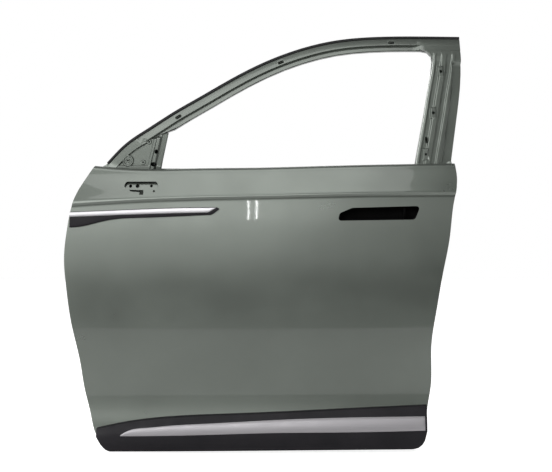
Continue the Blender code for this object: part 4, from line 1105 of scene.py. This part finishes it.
@dataclass
class MirrorFlag:
    """Triangle in front of the window: recessed field, one wide dished boss and two small ones.

    A row of the dish's profile is (distance from its centre, depth). Bosses and holes are (x, z, radius).
    """

    lines: DoorLines
    thickness: float = 1.1
    span: Pair = (120.0, 248.0)
    header_line: float = 27.0
    least_width: float = 4.0
    columns: int = 110
    rows: int = 110
    post_x: float = 187.5
    lean: float = 0.2
    rim_drop: float = 1.4
    field_edge: Table = ((117.6, 191.3), (168.1, 228.2))
    field_post_gap: float = 6.0
    field_floor: float = 157.0
    field_drop: float = 4.2
    field_slope: float = 2.6
    dish: Flat = (121.4, 173.4)
    dish_rim: Pair = (17.4, 15.8)
    dish_profile: Table = ((0, -1.6), (5.2, -1.6), (6.6, 1.4), (11, 1.4), (12.6, -2.2), (15.6, -2.2),
                           (17.4, 0))
    bosses: Table = ((182.0, 230.5, 6.5), (166.5, 168.2, 6.2))
    boss_rise: float = 3.2
    boss_slope: float = 2.0
    top_span: Pair = (238.0, 246.0)
    top_drop: float = 7.0
    holes: Table = ((121.4, 173.4, 2.8), (182.0, 230.5, 2.8), (166.5, 168.2, 2.6))
    hole_reach: Pair = (8, 8)

    def edge(self, z: float) -> float:
        """Rear edge, along the front of the post."""
        return self.post_x + self.lean * (z - self.lines.belt_z)

    def depth(self, x: float, z: float) -> float:
        """Outer face of the stamping.

        Args:
            x: place along the car.
            z: height.

        Returns:
            The depth of the face there.
        """
        (ax, az), (bx, bz) = self.field_edge
        way = Vector((bx - ax, bz - az)).normalized()
        below = (x - ax) * way.y - (z - az) * way.x
        inside = min(below, self.edge(z) - self.field_post_gap - x, z - self.field_floor)
        drop = self.rim_drop + self.field_drop * ease(inside, 0, self.field_slope)
        away = math.hypot(x - self.dish[0], z - self.dish[1])
        lifted = ease(away, *self.dish_rim)
        drop += (self.rim_drop - drop) * lifted + float(np.interp(away, *zip(*self.dish_profile)))
        for at_x, at_z, radius in self.bosses:
            drop -= self.boss_rise * ease(math.hypot(x - at_x, z - at_z), radius + self.boss_slope, radius)
        return self.lines.window_frame(x, z) + drop + self.top_drop * ease(z, *self.top_span)

    def build(self) -> bpy.types.Object:
        """Models the flag with its holes.

        Returns:
            The flag.
        """
        sections = []
        for z in spread(*self.span, self.rows):
            start, end = self.lines.header_x(self.header_line, z), self.edge(z)
            xs = spread(min(start, end - self.least_width), end, self.columns)
            sections.append([(x, self.depth(x, z), z) for x in xs])
        flag = Bench.grid("mirror_triangle", sections)
        Bench.wall(flag, self.thickness)
        for x, z, radius in self.holes:
            Bench.pierce(flag, circle(x, z, radius), self.depth, self.hole_reach)
        Bench.smooth(flag, angle=30)
        return flag

    def dress(self, finishes: Finishes) -> None:
        """Builds and paints the flag."""
        finishes.dress(self.build(), Slot.PAINT, ["mirror_flag"])


@dataclass
class RunPost:
    """Upright at the front of the window: bright face with two holes beside a darker channel.

    A row of the profile is (distance before the window's edge, depth), and a hole is
    (x, z, half its length, half its height).
    """

    lines: DoorLines
    thickness: float = 1.1
    span: Pair = (95.0, 258.0)
    edge_x: float = 221.0
    lean: float = 0.17
    profile: Table = ((0, 17), (1, 15), (2.6, 14.2), (15.6, 12.4), (17.6, 11.4), (20, 3.6), (21.6, 2.6),
                      (29.6, 2.6), (31.2, 3.4), (33.4, 6.6), (35.5, 7))
    top_span: Pair = (240.0, 248.0)
    top_drop: float = 10.0
    rows: int = 120
    columns: int = 44
    holes: Table = ((204.4, 200.5, 5.2, 7.0), (197.6, 162.0, 8.5, 6.6))
    hole_reach: Pair = (12, 12)

    def edge(self, z: float) -> float:
        """Rear edge, which is the front of the window."""
        return self.edge_x + self.lean * (z - self.lines.belt_z)

    def depth(self, x: float, z: float) -> float:
        """Outer face of the post."""
        drop = float(np.interp(max(self.edge(z) - x, 0.0), *zip(*self.profile)))
        return self.lines.window_frame(x, z) + max(drop, self.top_drop * ease(z, *self.top_span))

    def build(self) -> bpy.types.Object:
        """Models the post with its holes.

        Returns:
            The post.
        """
        width = self.profile[-1][0]
        sections = []
        for z in spread(*self.span, self.rows):
            xs = spread(self.edge(z) - width, self.edge(z), self.columns)
            sections.append([(x, self.depth(x, z), z) for x in xs])
        post = Bench.grid("window_post", sections)
        Bench.wall(post, self.thickness)
        for x, z, half_x, half_z in self.holes:
            ring = [(x + (cx - x) * half_x, z + (cz - z) * half_z) for cx, cz in circle(x, z, 1.0)]
            Bench.pierce(post, ring, self.depth, self.hole_reach)
        Bench.smooth(post, angle=30)
        return post

    def dress(self, finishes: Finishes) -> None:
        """Builds and paints the post."""
        finishes.dress(self.build(), Slot.PAINT, ["front_run_post"])


@dataclass
class MirrorBracket:
    """Reinforcement seen through the mirror opening, with four holes and a notched cut-out.

    Holes and the corners of the outline and of the notch are (x, z, radius).
    """

    lines: DoorLines
    behind_skin: float = 10.0
    thickness: float = 2.0
    reach_x: Pair = (88.0, 248.0)
    reach_z: Pair = (40.0, 130.0)
    columns: int = 40
    rows: int = 24
    outline: Table = ((96, 126, 14), (236, 126, 14), (244, 88, 14), (216, 44, 14), (160, 46, 14),
                      (92, 84, 14))
    outline_reach: Pair = (12, 16)
    holes: Table = ((134.6, 95.6, 4.6), (155.1, 96.2, 5.6), (195.9, 96.2, 4.2), (203.9, 80.5, 3.2))
    notch: Table = ((121, 85, 1), (173, 84, 1), (173, 70, 1), (161.5, 70, 1), (161.5, 78, 1),
                    (140, 79.5, 1))
    hole_reach: Pair = (6, 8)

    def build(self) -> bpy.types.Object:
        """Models the bracket: a sheet trimmed to its outline, then pierced.

        Returns:
            The bracket.
        """
        face = behind(self.lines.skin, self.behind_skin)
        rows = [[(x, face(x, z), z) for x in spread(*self.reach_x, self.columns)]
                for z in spread(*self.reach_z, self.rows)]
        bracket = Bench.grid("mirror_support", rows)
        Bench.wall(bracket, self.thickness)
        near, far = behind(face, -self.outline_reach[0]), behind(face, self.outline_reach[1])
        shape = Bench.prism("bracket_shape", rounded(self.outline), near, far)
        Bench.cut(bracket, shape, "INTERSECT")
        for x, z, radius in self.holes:
            Bench.pierce(bracket, circle(x, z, radius), face, self.hole_reach)
        Bench.pierce(bracket, rounded(self.notch, steps=3), face, self.hole_reach)
        Bench.smooth(bracket, angle=35)
        return bracket

    def dress(self, finishes: Finishes) -> None:
        """Builds and paints the bracket."""
        finishes.dress(self.build(), Slot.PAINT, ["mirror_bracket"])


@dataclass
class SpearTrim:
    """Black spear base on the shoulder with its satin strip.

    Heights are above the origin, by x. A turn is (x, height, slope beyond it).
    """

    lines: DoorLines
    top: Curve = field(default_factory=lambda: Curve([
        (-35, 20.5), (118.6, 26.3), (266.5, 31.8), (399, 33)]))
    strip_foot: Curve = field(default_factory=lambda: Curve([
        (-37, 5.7), (118.6, 11.5), (266.5, 15.8), (364.5, 17.9)]))
    foot: Curve = field(default_factory=lambda: Curve([
        (-44, -24.8), (-11, -22.7), (41, -10.9), (89, -1.3), (155.5, 2.8), (373.8, 11.5)]))
    nose: float = -40.0
    columns: int = 90
    base_end: float = 396.0
    base_foot_turn: Point = (374, 11.5, 0.75)
    base_top_turn: Point = (390, 32.8, -0.6)
    base_rows: int = 9
    base_crown: float = 0.9
    base_edge: float = 0.8
    base_gap: float = 1.2
    strip_end: float = 386.0
    strip_foot_turn: Point = (366, 18.5, 0.64)
    strip_rows: int = 7
    strip_crown: float = 0.48
    strip_inset: float = 1.5
    strip_rise: float = 0.3
    strip_thickness: float = 1.0
    strip_edge: float = 0.35
    proud: float = 5.0
    seat: float = 0.9

    @staticmethod
    def turned(curve: Curve, turn: Point, x: float) -> float:
        """An edge that follows a curve and then runs off straight.

        Args:
            curve: the edge up to its turn.
            turn: where it turns, its height there and its slope beyond.
            x: place along the car.

        Returns:
            The edge's height.
        """
        at, height, slope = turn
        return curve(x) if x < at else height + (x - at) * slope

    def build_base(self) -> bpy.types.Object:
        """Models the black base.

        Returns:
            The base.
        """
        face = behind(self.lines.skin, self.base_crown - self.proud)
        rows = []
        for share in spread(0, 1, self.base_rows):
            run = []
            for x in spread(self.nose, self.base_end, self.columns):
                low = self.turned(self.foot, self.base_foot_turn, x)
                high = self.turned(self.top, self.base_top_turn, x)
                z = low + (high - low) * share
                run.append((x, face(x, z) - crown(share, self.base_crown), z))
            rows.append(run)
        base = Bench.grid("spear_body", rows)
        Bench.wall(base, self.proud - self.seat - self.base_gap)
        Bench.soften(base, self.base_edge)
        Bench.smooth(base, angle=45)
        return base

    def build_strip(self) -> bpy.types.Object:
        """Models the satin strip.

        Returns:
            The strip.
        """
        face = behind(self.lines.skin, -self.proud - self.strip_rise)
        rows = []
        for share in spread(0, 1, self.strip_rows):
            run = []
            for x in spread(self.nose, self.strip_end, self.columns):
                low = self.turned(self.strip_foot, self.strip_foot_turn, x)
                z = low + (self.top(x) - self.strip_inset - low) * share
                run.append((x, face(x, z) - crown(share, self.strip_crown), z))
            rows.append(run)
        strip = Bench.grid("spear_strip", rows)
        Bench.wall(strip, self.strip_thickness)
        Bench.soften(strip, self.strip_edge)
        Bench.smooth(strip, angle=45)
        return strip

    def dress(self, finishes: Finishes) -> None:
        """Builds and dresses the base and its strip."""
        finishes.dress(self.build_base(), Slot.PLASTIC, ["spear_base"])
        # The strip wears the paler satin, a painted highlight for its lit place on the shoulder.
        finishes.dress(self.build_strip(), Slot.SATIN, ["spear_bright"], Look.PALE_SATIN)


@dataclass
class LowerCladding:
    """Black cladding with its satin accent and the lip against the paint.

    top, foot, accent_top and accent_foot give heights by x, and bulge gives how far the face stands out
    by the share of the way down. nose and tail are (x, z) points of the lower edge's round ends. A row
    of the lip's profile is (height over the top edge, depth).
    """

    lines: DoorLines
    top: Curve = field(default_factory=lambda: Curve([
        (41.5, -608), (104, -594), (178, -582), (259, -574), (422, -566), (572, -560), (780, -550.5),
        (997, -542)]))
    foot: Curve = field(default_factory=lambda: Curve([
        (76, -674), (300, -671.5), (484.6, -669.5), (743.6, -667.5), (957, -667)]))
    bulge: Curve = field(default_factory=lambda: Curve([
        (-0.2, 3), (0, 6), (0.2, 11), (0.5, 15), (0.8, 14), (1, 9), (1.2, 4)]))
    accent_top: Curve = field(default_factory=lambda: Curve([
        (110, -625), (128.8, -614), (177.8, -604), (259, -596.5), (340.5, -591.7), (571.6, -579.5),
        (743.6, -574), (991, -571)]))
    accent_foot: Curve = field(default_factory=lambda: Curve([
        (110, -628), (300, -624), (571.6, -616), (743.6, -615), (991, -611.5)]))
    nose: Table = ((39, -630), (51, -651), (63, -667), (76, -674))
    tail: Table = ((957, -667), (973.5, -662.5), (986, -650.5), (994, -633), (997, -614))
    thickness: float = 2.6
    front: float = 39.2
    top_front: float = 41.5
    rear: float = 997.0
    columns: int = 150
    rows: int = 26
    least_height: float = 4.0
    top_return: float = 1.2
    foot_return: float = 2.0
    shell_edge: float = 0.8
    accent_span: Pair = (110.0, 991.0)
    accent_columns: int = 130
    accent_rows: int = 7
    accent_crown: float = 0.5
    accent_rise: float = 0.25
    accent_thickness: float = 1.0
    accent_edge: float = 0.3
    lip_profile: Table = ((0.4, -1.1), (0.4, -3.2), (1.2, -4), (2.2, -3.8), (3, -2.8), (3, -1.1))
    lip_columns: int = 120
    lip_thickness: float = 0.5

    def face(self, x: float, z: float) -> float:
        """Outer face of the cladding."""
        top, foot = self.top(x), self.foot(x)
        return self.lines.skin(x, z) - self.bulge((top - z) / (top - foot))

    def low(self, x: float) -> float:
        """Lower edge, with its rounded ends.

        Args:
            x: place along the car.

        Returns:
            The edge's height.
        """
        if x < self.nose[-1][0]:
            return float(np.interp(x, *zip(*self.nose)))
        if x > self.tail[0][0]:
            return float(np.interp(x, *zip(*self.tail)))
        return self.foot(x)

    def build_shell(self) -> bpy.types.Object:
        """Models the shell, turned in towards the skin along both long edges.

        Returns:
            The shell.
        """
        rows = []
        for share in spread(0, 1, self.rows):
            run = []
            for x in spread(self.front, self.rear, self.columns):
                high = self.top(max(x, self.top_front))
                z = high + (min(self.low(x), high - self.least_height) - high) * share
                run.append((x, self.face(x, z), z))
            rows.append(run)
        back_top = lift([(x, z) for x, _, z in rows[0]], behind(self.lines.skin, -self.top_return))
        back_foot = lift([(x, z) for x, _, z in rows[-1]], behind(self.lines.skin, self.foot_return))
        shell = Bench.grid("sill_cladding", [back_top, *rows, back_foot])
        Bench.wall(shell, self.thickness)
        Bench.soften(shell, self.shell_edge, angle=50)
        Bench.smooth(shell, angle=40)
        return shell

    def build_accent(self) -> bpy.types.Object:
        """Models the satin accent, standing a little proud of the shell.

        Returns:
            The accent.
        """
        rows = []
        for share in spread(0, 1, self.accent_rows):
            run = []
            for x in spread(*self.accent_span, self.accent_columns):
                z = self.accent_top(x) + (self.accent_foot(x) - self.accent_top(x)) * share
                run.append((x, self.face(x, z) - self.accent_rise - crown(share, self.accent_crown), z))
            rows.append(run)
        accent = Bench.grid("sill_accent", rows)
        Bench.wall(accent, self.accent_thickness)
        Bench.soften(accent, self.accent_edge)
        Bench.smooth(accent, angle=45)
        return accent

    def build_lip(self) -> bpy.types.Object:
        """Models the thin lip that closes the gap over the cladding.

        Returns:
            The lip.
        """
        run = [(x, self.top(x)) for x in spread(self.top_front, self.rear, self.lip_columns)]
        rows = [lift([(x, z + up) for x, z in run], behind(self.lines.skin, out))
                for up, out in self.lip_profile]
        lip = Bench.grid("cladding_lip_strip", rows)
        Bench.wall(lip, self.lip_thickness)
        Bench.smooth(lip, angle=50)
        return lip

    def dress(self, finishes: Finishes) -> None:
        """Builds and dresses the shell, the accent and the lip.

        Args:
            finishes: the made materials.
        """
        finishes.dress(self.build_shell(), Slot.PLASTIC, ["cladding"])
        finishes.dress(self.build_accent(), Slot.SATIN, ["cladding_accent"])
        finishes.dress(self.build_lip(), Slot.RUBBER, ["cladding_lip"])


@dataclass
class Stampings:
    """Pieces that keep the shape of their CAD node: merged, with softened shading."""

    painted: tuple[str, ...] = (
        "inner_panel", "belt_rail_outer", "belt_rail_inner", "beam_bracket_front", "beam_bracket_rear",
        "hinge_plate_upper", "hinge_plate_lower", "check_plate", "latch_plate", "front_glass_guide",
        "rear_glass_guide")
    nut_plates: tuple[str, ...] = ("hinge_plate_upper", "hinge_plate_lower", "check_plate")
    nuts: int = 2
    clips: int = 6
    pads: tuple[str, ...] = ("flutter_pad_1", "flutter_pad_2", "flutter_pad_3", "damping_pad_1",
                             "damping_pad_2")

    def everything(self) -> list[tuple[str, Slot]]:
        """Every node that is carried over.

        Returns:
            The nodes' names, each with its slot.
        """
        found = [(name, Slot.PAINT) for name in self.painted]
        found.append(("impact_beam", Slot.STEEL))
        found += [(f"{name}_nut_{i + 1}", Slot.STEEL) for name in self.nut_plates for i in range(self.nuts)]
        found += [(f"cladding_clip_{i + 1}", Slot.PLASTIC) for i in range(self.clips)]
        found += [(name, Slot.MASTIC) for name in self.pads]
        return found

    def carry(self, name: str) -> bpy.types.Object:
        """Copies a node's mesh, merges it and smooths its shading.

        Args:
            name: the node.

        Returns:
            The copy.
        """
        piece = bpy.data.objects.new(f"{name}_piece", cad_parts[name].data.copy())
        bpy.context.scene.collection.objects.link(piece)
        Bench.edit(piece)
        bpy.ops.mesh.remove_doubles(threshold=MERGE_GAP)
        bpy.ops.mesh.tris_convert_to_quads()
        bpy.ops.object.mode_set(mode="OBJECT")
        Bench.smooth(piece, angle=30)
        return piece

    def dress(self, finishes: Finishes) -> None:
        """Carries over and dresses every node, the handle pocket first.

        Args:
            finishes: the made materials.
        """
        # The handle carrier wears the near-black with painted shade for the inside of its pocket.
        finishes.dress(self.carry("handle_carrier"), Slot.PLASTIC, ["handle_carrier"], Look.DEEP_BLACK)
        for name, slot in self.everything():
            finishes.dress(self.carry(name), slot, [name])


@dataclass(frozen=True)
class Lamp:
    """Soft rectangular lamp that faces a point."""

    name: str
    place: Point
    aim: Point
    size: Pair
    power: float

    def hang(self) -> None:
        """Adds the lamp to the scene."""
        data = bpy.data.lights.new(self.name, "AREA")
        data.shape = "RECTANGLE"
        data.size, data.size_y = self.size
        data.energy = self.power
        made = bpy.data.objects.new(self.name, data)
        made.location = self.place
        made.rotation_euler = (Vector(self.aim) - Vector(self.place)).to_track_quat("-Z", "Y").to_euler()
        bpy.context.scene.collection.objects.link(made)


@dataclass
class Studio:
    """Camera at the photograph's place, pale floor and soft light.

    A row of the room is (how steeply up the light comes from, its strength). room_turn is where,
    from left to right, the room goes from the first strength of room_sides to the second.
    """

    camera_at: Point = (0.56, -3.26, -0.05)
    lens: float = 72.5
    sensor: float = 36.0
    room: Table = ((-1, 0.18), (-0.3, 0.24), (-0.2, 0.2), (-0.1, 0.15), (0.0, 0.17), (0.08, 0.5),
                   (0.15, 0.9), (0.22, 1.4), (0.3, 2.2), (0.38, 3.0), (0.46, 2.6), (0.56, 0.4), (0.8, 0.28),
                   (1, 0.24))
    room_peak: float = 3.0
    room_turn: Pair = (-0.08, 0.26)
    room_sides: Pair = (1.04, 0.2)
    floor_at: Point = (0.55, 5.4, -0.6755)
    floor_size: float = 14.0
    floor_grey: float = 0.75
    floor_roughness: float = 0.9
    floor_seen: float = 0.74
    floor_mirrored: float = 0.16
    lamps: tuple[Lamp, ...] = (
        Lamp("overhead", (0.16, -1.6, 3.2), (0.21, 0, 0.0), (2.92, 1.6), 21),
        Lamp("strip_left", (0.37, -2.4, 0.605), (0.49, 0, 0.02), (0.009, 0.2), 0.2),
        Lamp("strip_right", (0.425, -2.4, 0.605), (0.49, 0, 0.02), (0.009, 0.2), 0.2),
        Lamp("back_fill", (0.6, 2.6, 1.6), (0.55, 0, 0.0), (2.4, 1.4), 30))

    def camera(self) -> None:
        """Places the camera, level and square to the door."""
        data = bpy.data.cameras.new("view")
        data.lens = self.lens
        data.sensor_width = self.sensor
        made = bpy.data.objects.new("view", data)
        made.location = self.camera_at
        made.rotation_euler = (math.pi / 2, 0, 0)
        bpy.context.scene.collection.objects.link(made)
        bpy.context.scene.camera = made

    def floor(self) -> None:
        """Lays the pale floor, which glows to the camera and, less, in reflections."""
        Bench.clear()
        bpy.ops.mesh.primitive_plane_add(size=self.floor_size, location=self.floor_at)
        floor = bpy.context.object
        floor.name = "studio_floor"
        tree = NodeTree("pale_floor")
        grey = self.floor_grey
        tree.set(Roughness=self.floor_roughness, Base_Color=(grey, grey, grey, 1),
                 Emission_Color=(1, 1, 1, 1))
        rays = tree.nodes.new("ShaderNodeLightPath")
        seen = tree.nodes.new("ShaderNodeMath")
        seen.operation = "MULTIPLY"
        seen.inputs[1].default_value = self.floor_seen
        tree.links.new(rays.outputs["Is Camera Ray"], seen.inputs[0])
        mirrored = tree.nodes.new("ShaderNodeMath")
        mirrored.operation = "MULTIPLY_ADD"
        mirrored.inputs[1].default_value = self.floor_mirrored
        tree.links.new(rays.outputs["Is Glossy Ray"], mirrored.inputs[0])
        tree.links.new(seen.outputs[0], mirrored.inputs[2])
        tree.links.new(mirrored.outputs[0], tree.shader.inputs["Emission Strength"])
        floor.data.materials.append(tree.material)
        floor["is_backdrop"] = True

    def world(self) -> None:
        """Sets the surround: white to the camera, a room brighter at one height and side to the door."""
        world = bpy.data.worlds.new("studio")
        bpy.context.scene.world = world
        world.use_nodes = True
        nodes, links = world.node_tree.nodes, world.node_tree.links
        shown = nodes["Background"]
        shown.inputs["Color"].default_value = (1, 1, 1, 1)
        lit = nodes.new("ShaderNodeBackground")
        direction = nodes.new("ShaderNodeSeparateXYZ")
        links.new(nodes.new("ShaderNodeTexCoord").outputs["Generated"], direction.inputs[0])
        height = nodes.new("ShaderNodeMapRange")
        height.inputs["From Min"].default_value = -1.0
        links.new(direction.outputs["Z"], height.inputs["Value"])
        ladder = nodes.new("ShaderNodeValToRGB")
        ladder.color_ramp.interpolation = "B_SPLINE"
        steps = ladder.color_ramp.elements
        while len(steps) < len(self.room):
            steps.new(0.5)
        for step, (position, light) in zip(steps, self.room):
            step.position = (position + 1) / 2
            share = light / self.room_peak
            step.color = (share, share, share, 1)
        links.new(height.outputs["Result"], ladder.inputs["Fac"])
        links.new(ladder.outputs["Color"], lit.inputs["Color"])
        sideways = nodes.new("ShaderNodeMapRange")
        sideways.interpolation_type = "SMOOTHSTEP"
        for name, value in zip(("From Min", "From Max"), self.room_turn):
            sideways.inputs[name].default_value = value
        for name, value in zip(("To Min", "To Max"), self.room_sides):
            sideways.inputs[name].default_value = value * self.room_peak
        links.new(direction.outputs["X"], sideways.inputs["Value"])
        links.new(sideways.outputs["Result"], lit.inputs["Strength"])
        rays = nodes.new("ShaderNodeLightPath")
        mix = nodes.new("ShaderNodeMixShader")
        links.new(rays.outputs["Is Camera Ray"], mix.inputs["Fac"])
        links.new(lit.outputs[0], mix.inputs[1])
        links.new(shown.outputs[0], mix.inputs[2])
        links.new(mix.outputs[0], nodes["World Output"].inputs["Surface"])

    def build(self) -> None:
        """Sets the whole studio: camera, floor, surround, and lamps above, in front and behind."""
        self.camera()
        self.floor()
        self.world()
        for lamp in self.lamps:
            lamp.hang()
        bpy.context.scene.view_settings.view_transform = "Standard"


def corners(bounds: object) -> list[list[float]]:
    """A box as plain lists of numbers."""
    return [[float(value) for value in corner] for corner in bounds]


def main() -> None:
    """Builds every piece and the studio."""
    logging.basicConfig(level=logging.INFO, format="%(message)s")
    Studio().build()
    finishes = Finishes()
    lines = DoorLines()
    for group in (OuterSkin, WindowHeader, RearPillar, MirrorFlag, RunPost, MirrorBracket, SpearTrim,
                  LowerCladding):
        group(lines).dress(finishes)
    Stampings().dress(finishes)
    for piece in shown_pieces():
        LOG.info("%s: %d faces", piece.name, len(piece.data.polygons))
    {"cad": corners(CAD_BOX), "visual": corners(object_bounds())}


if __name__ == "__main__":
    main()
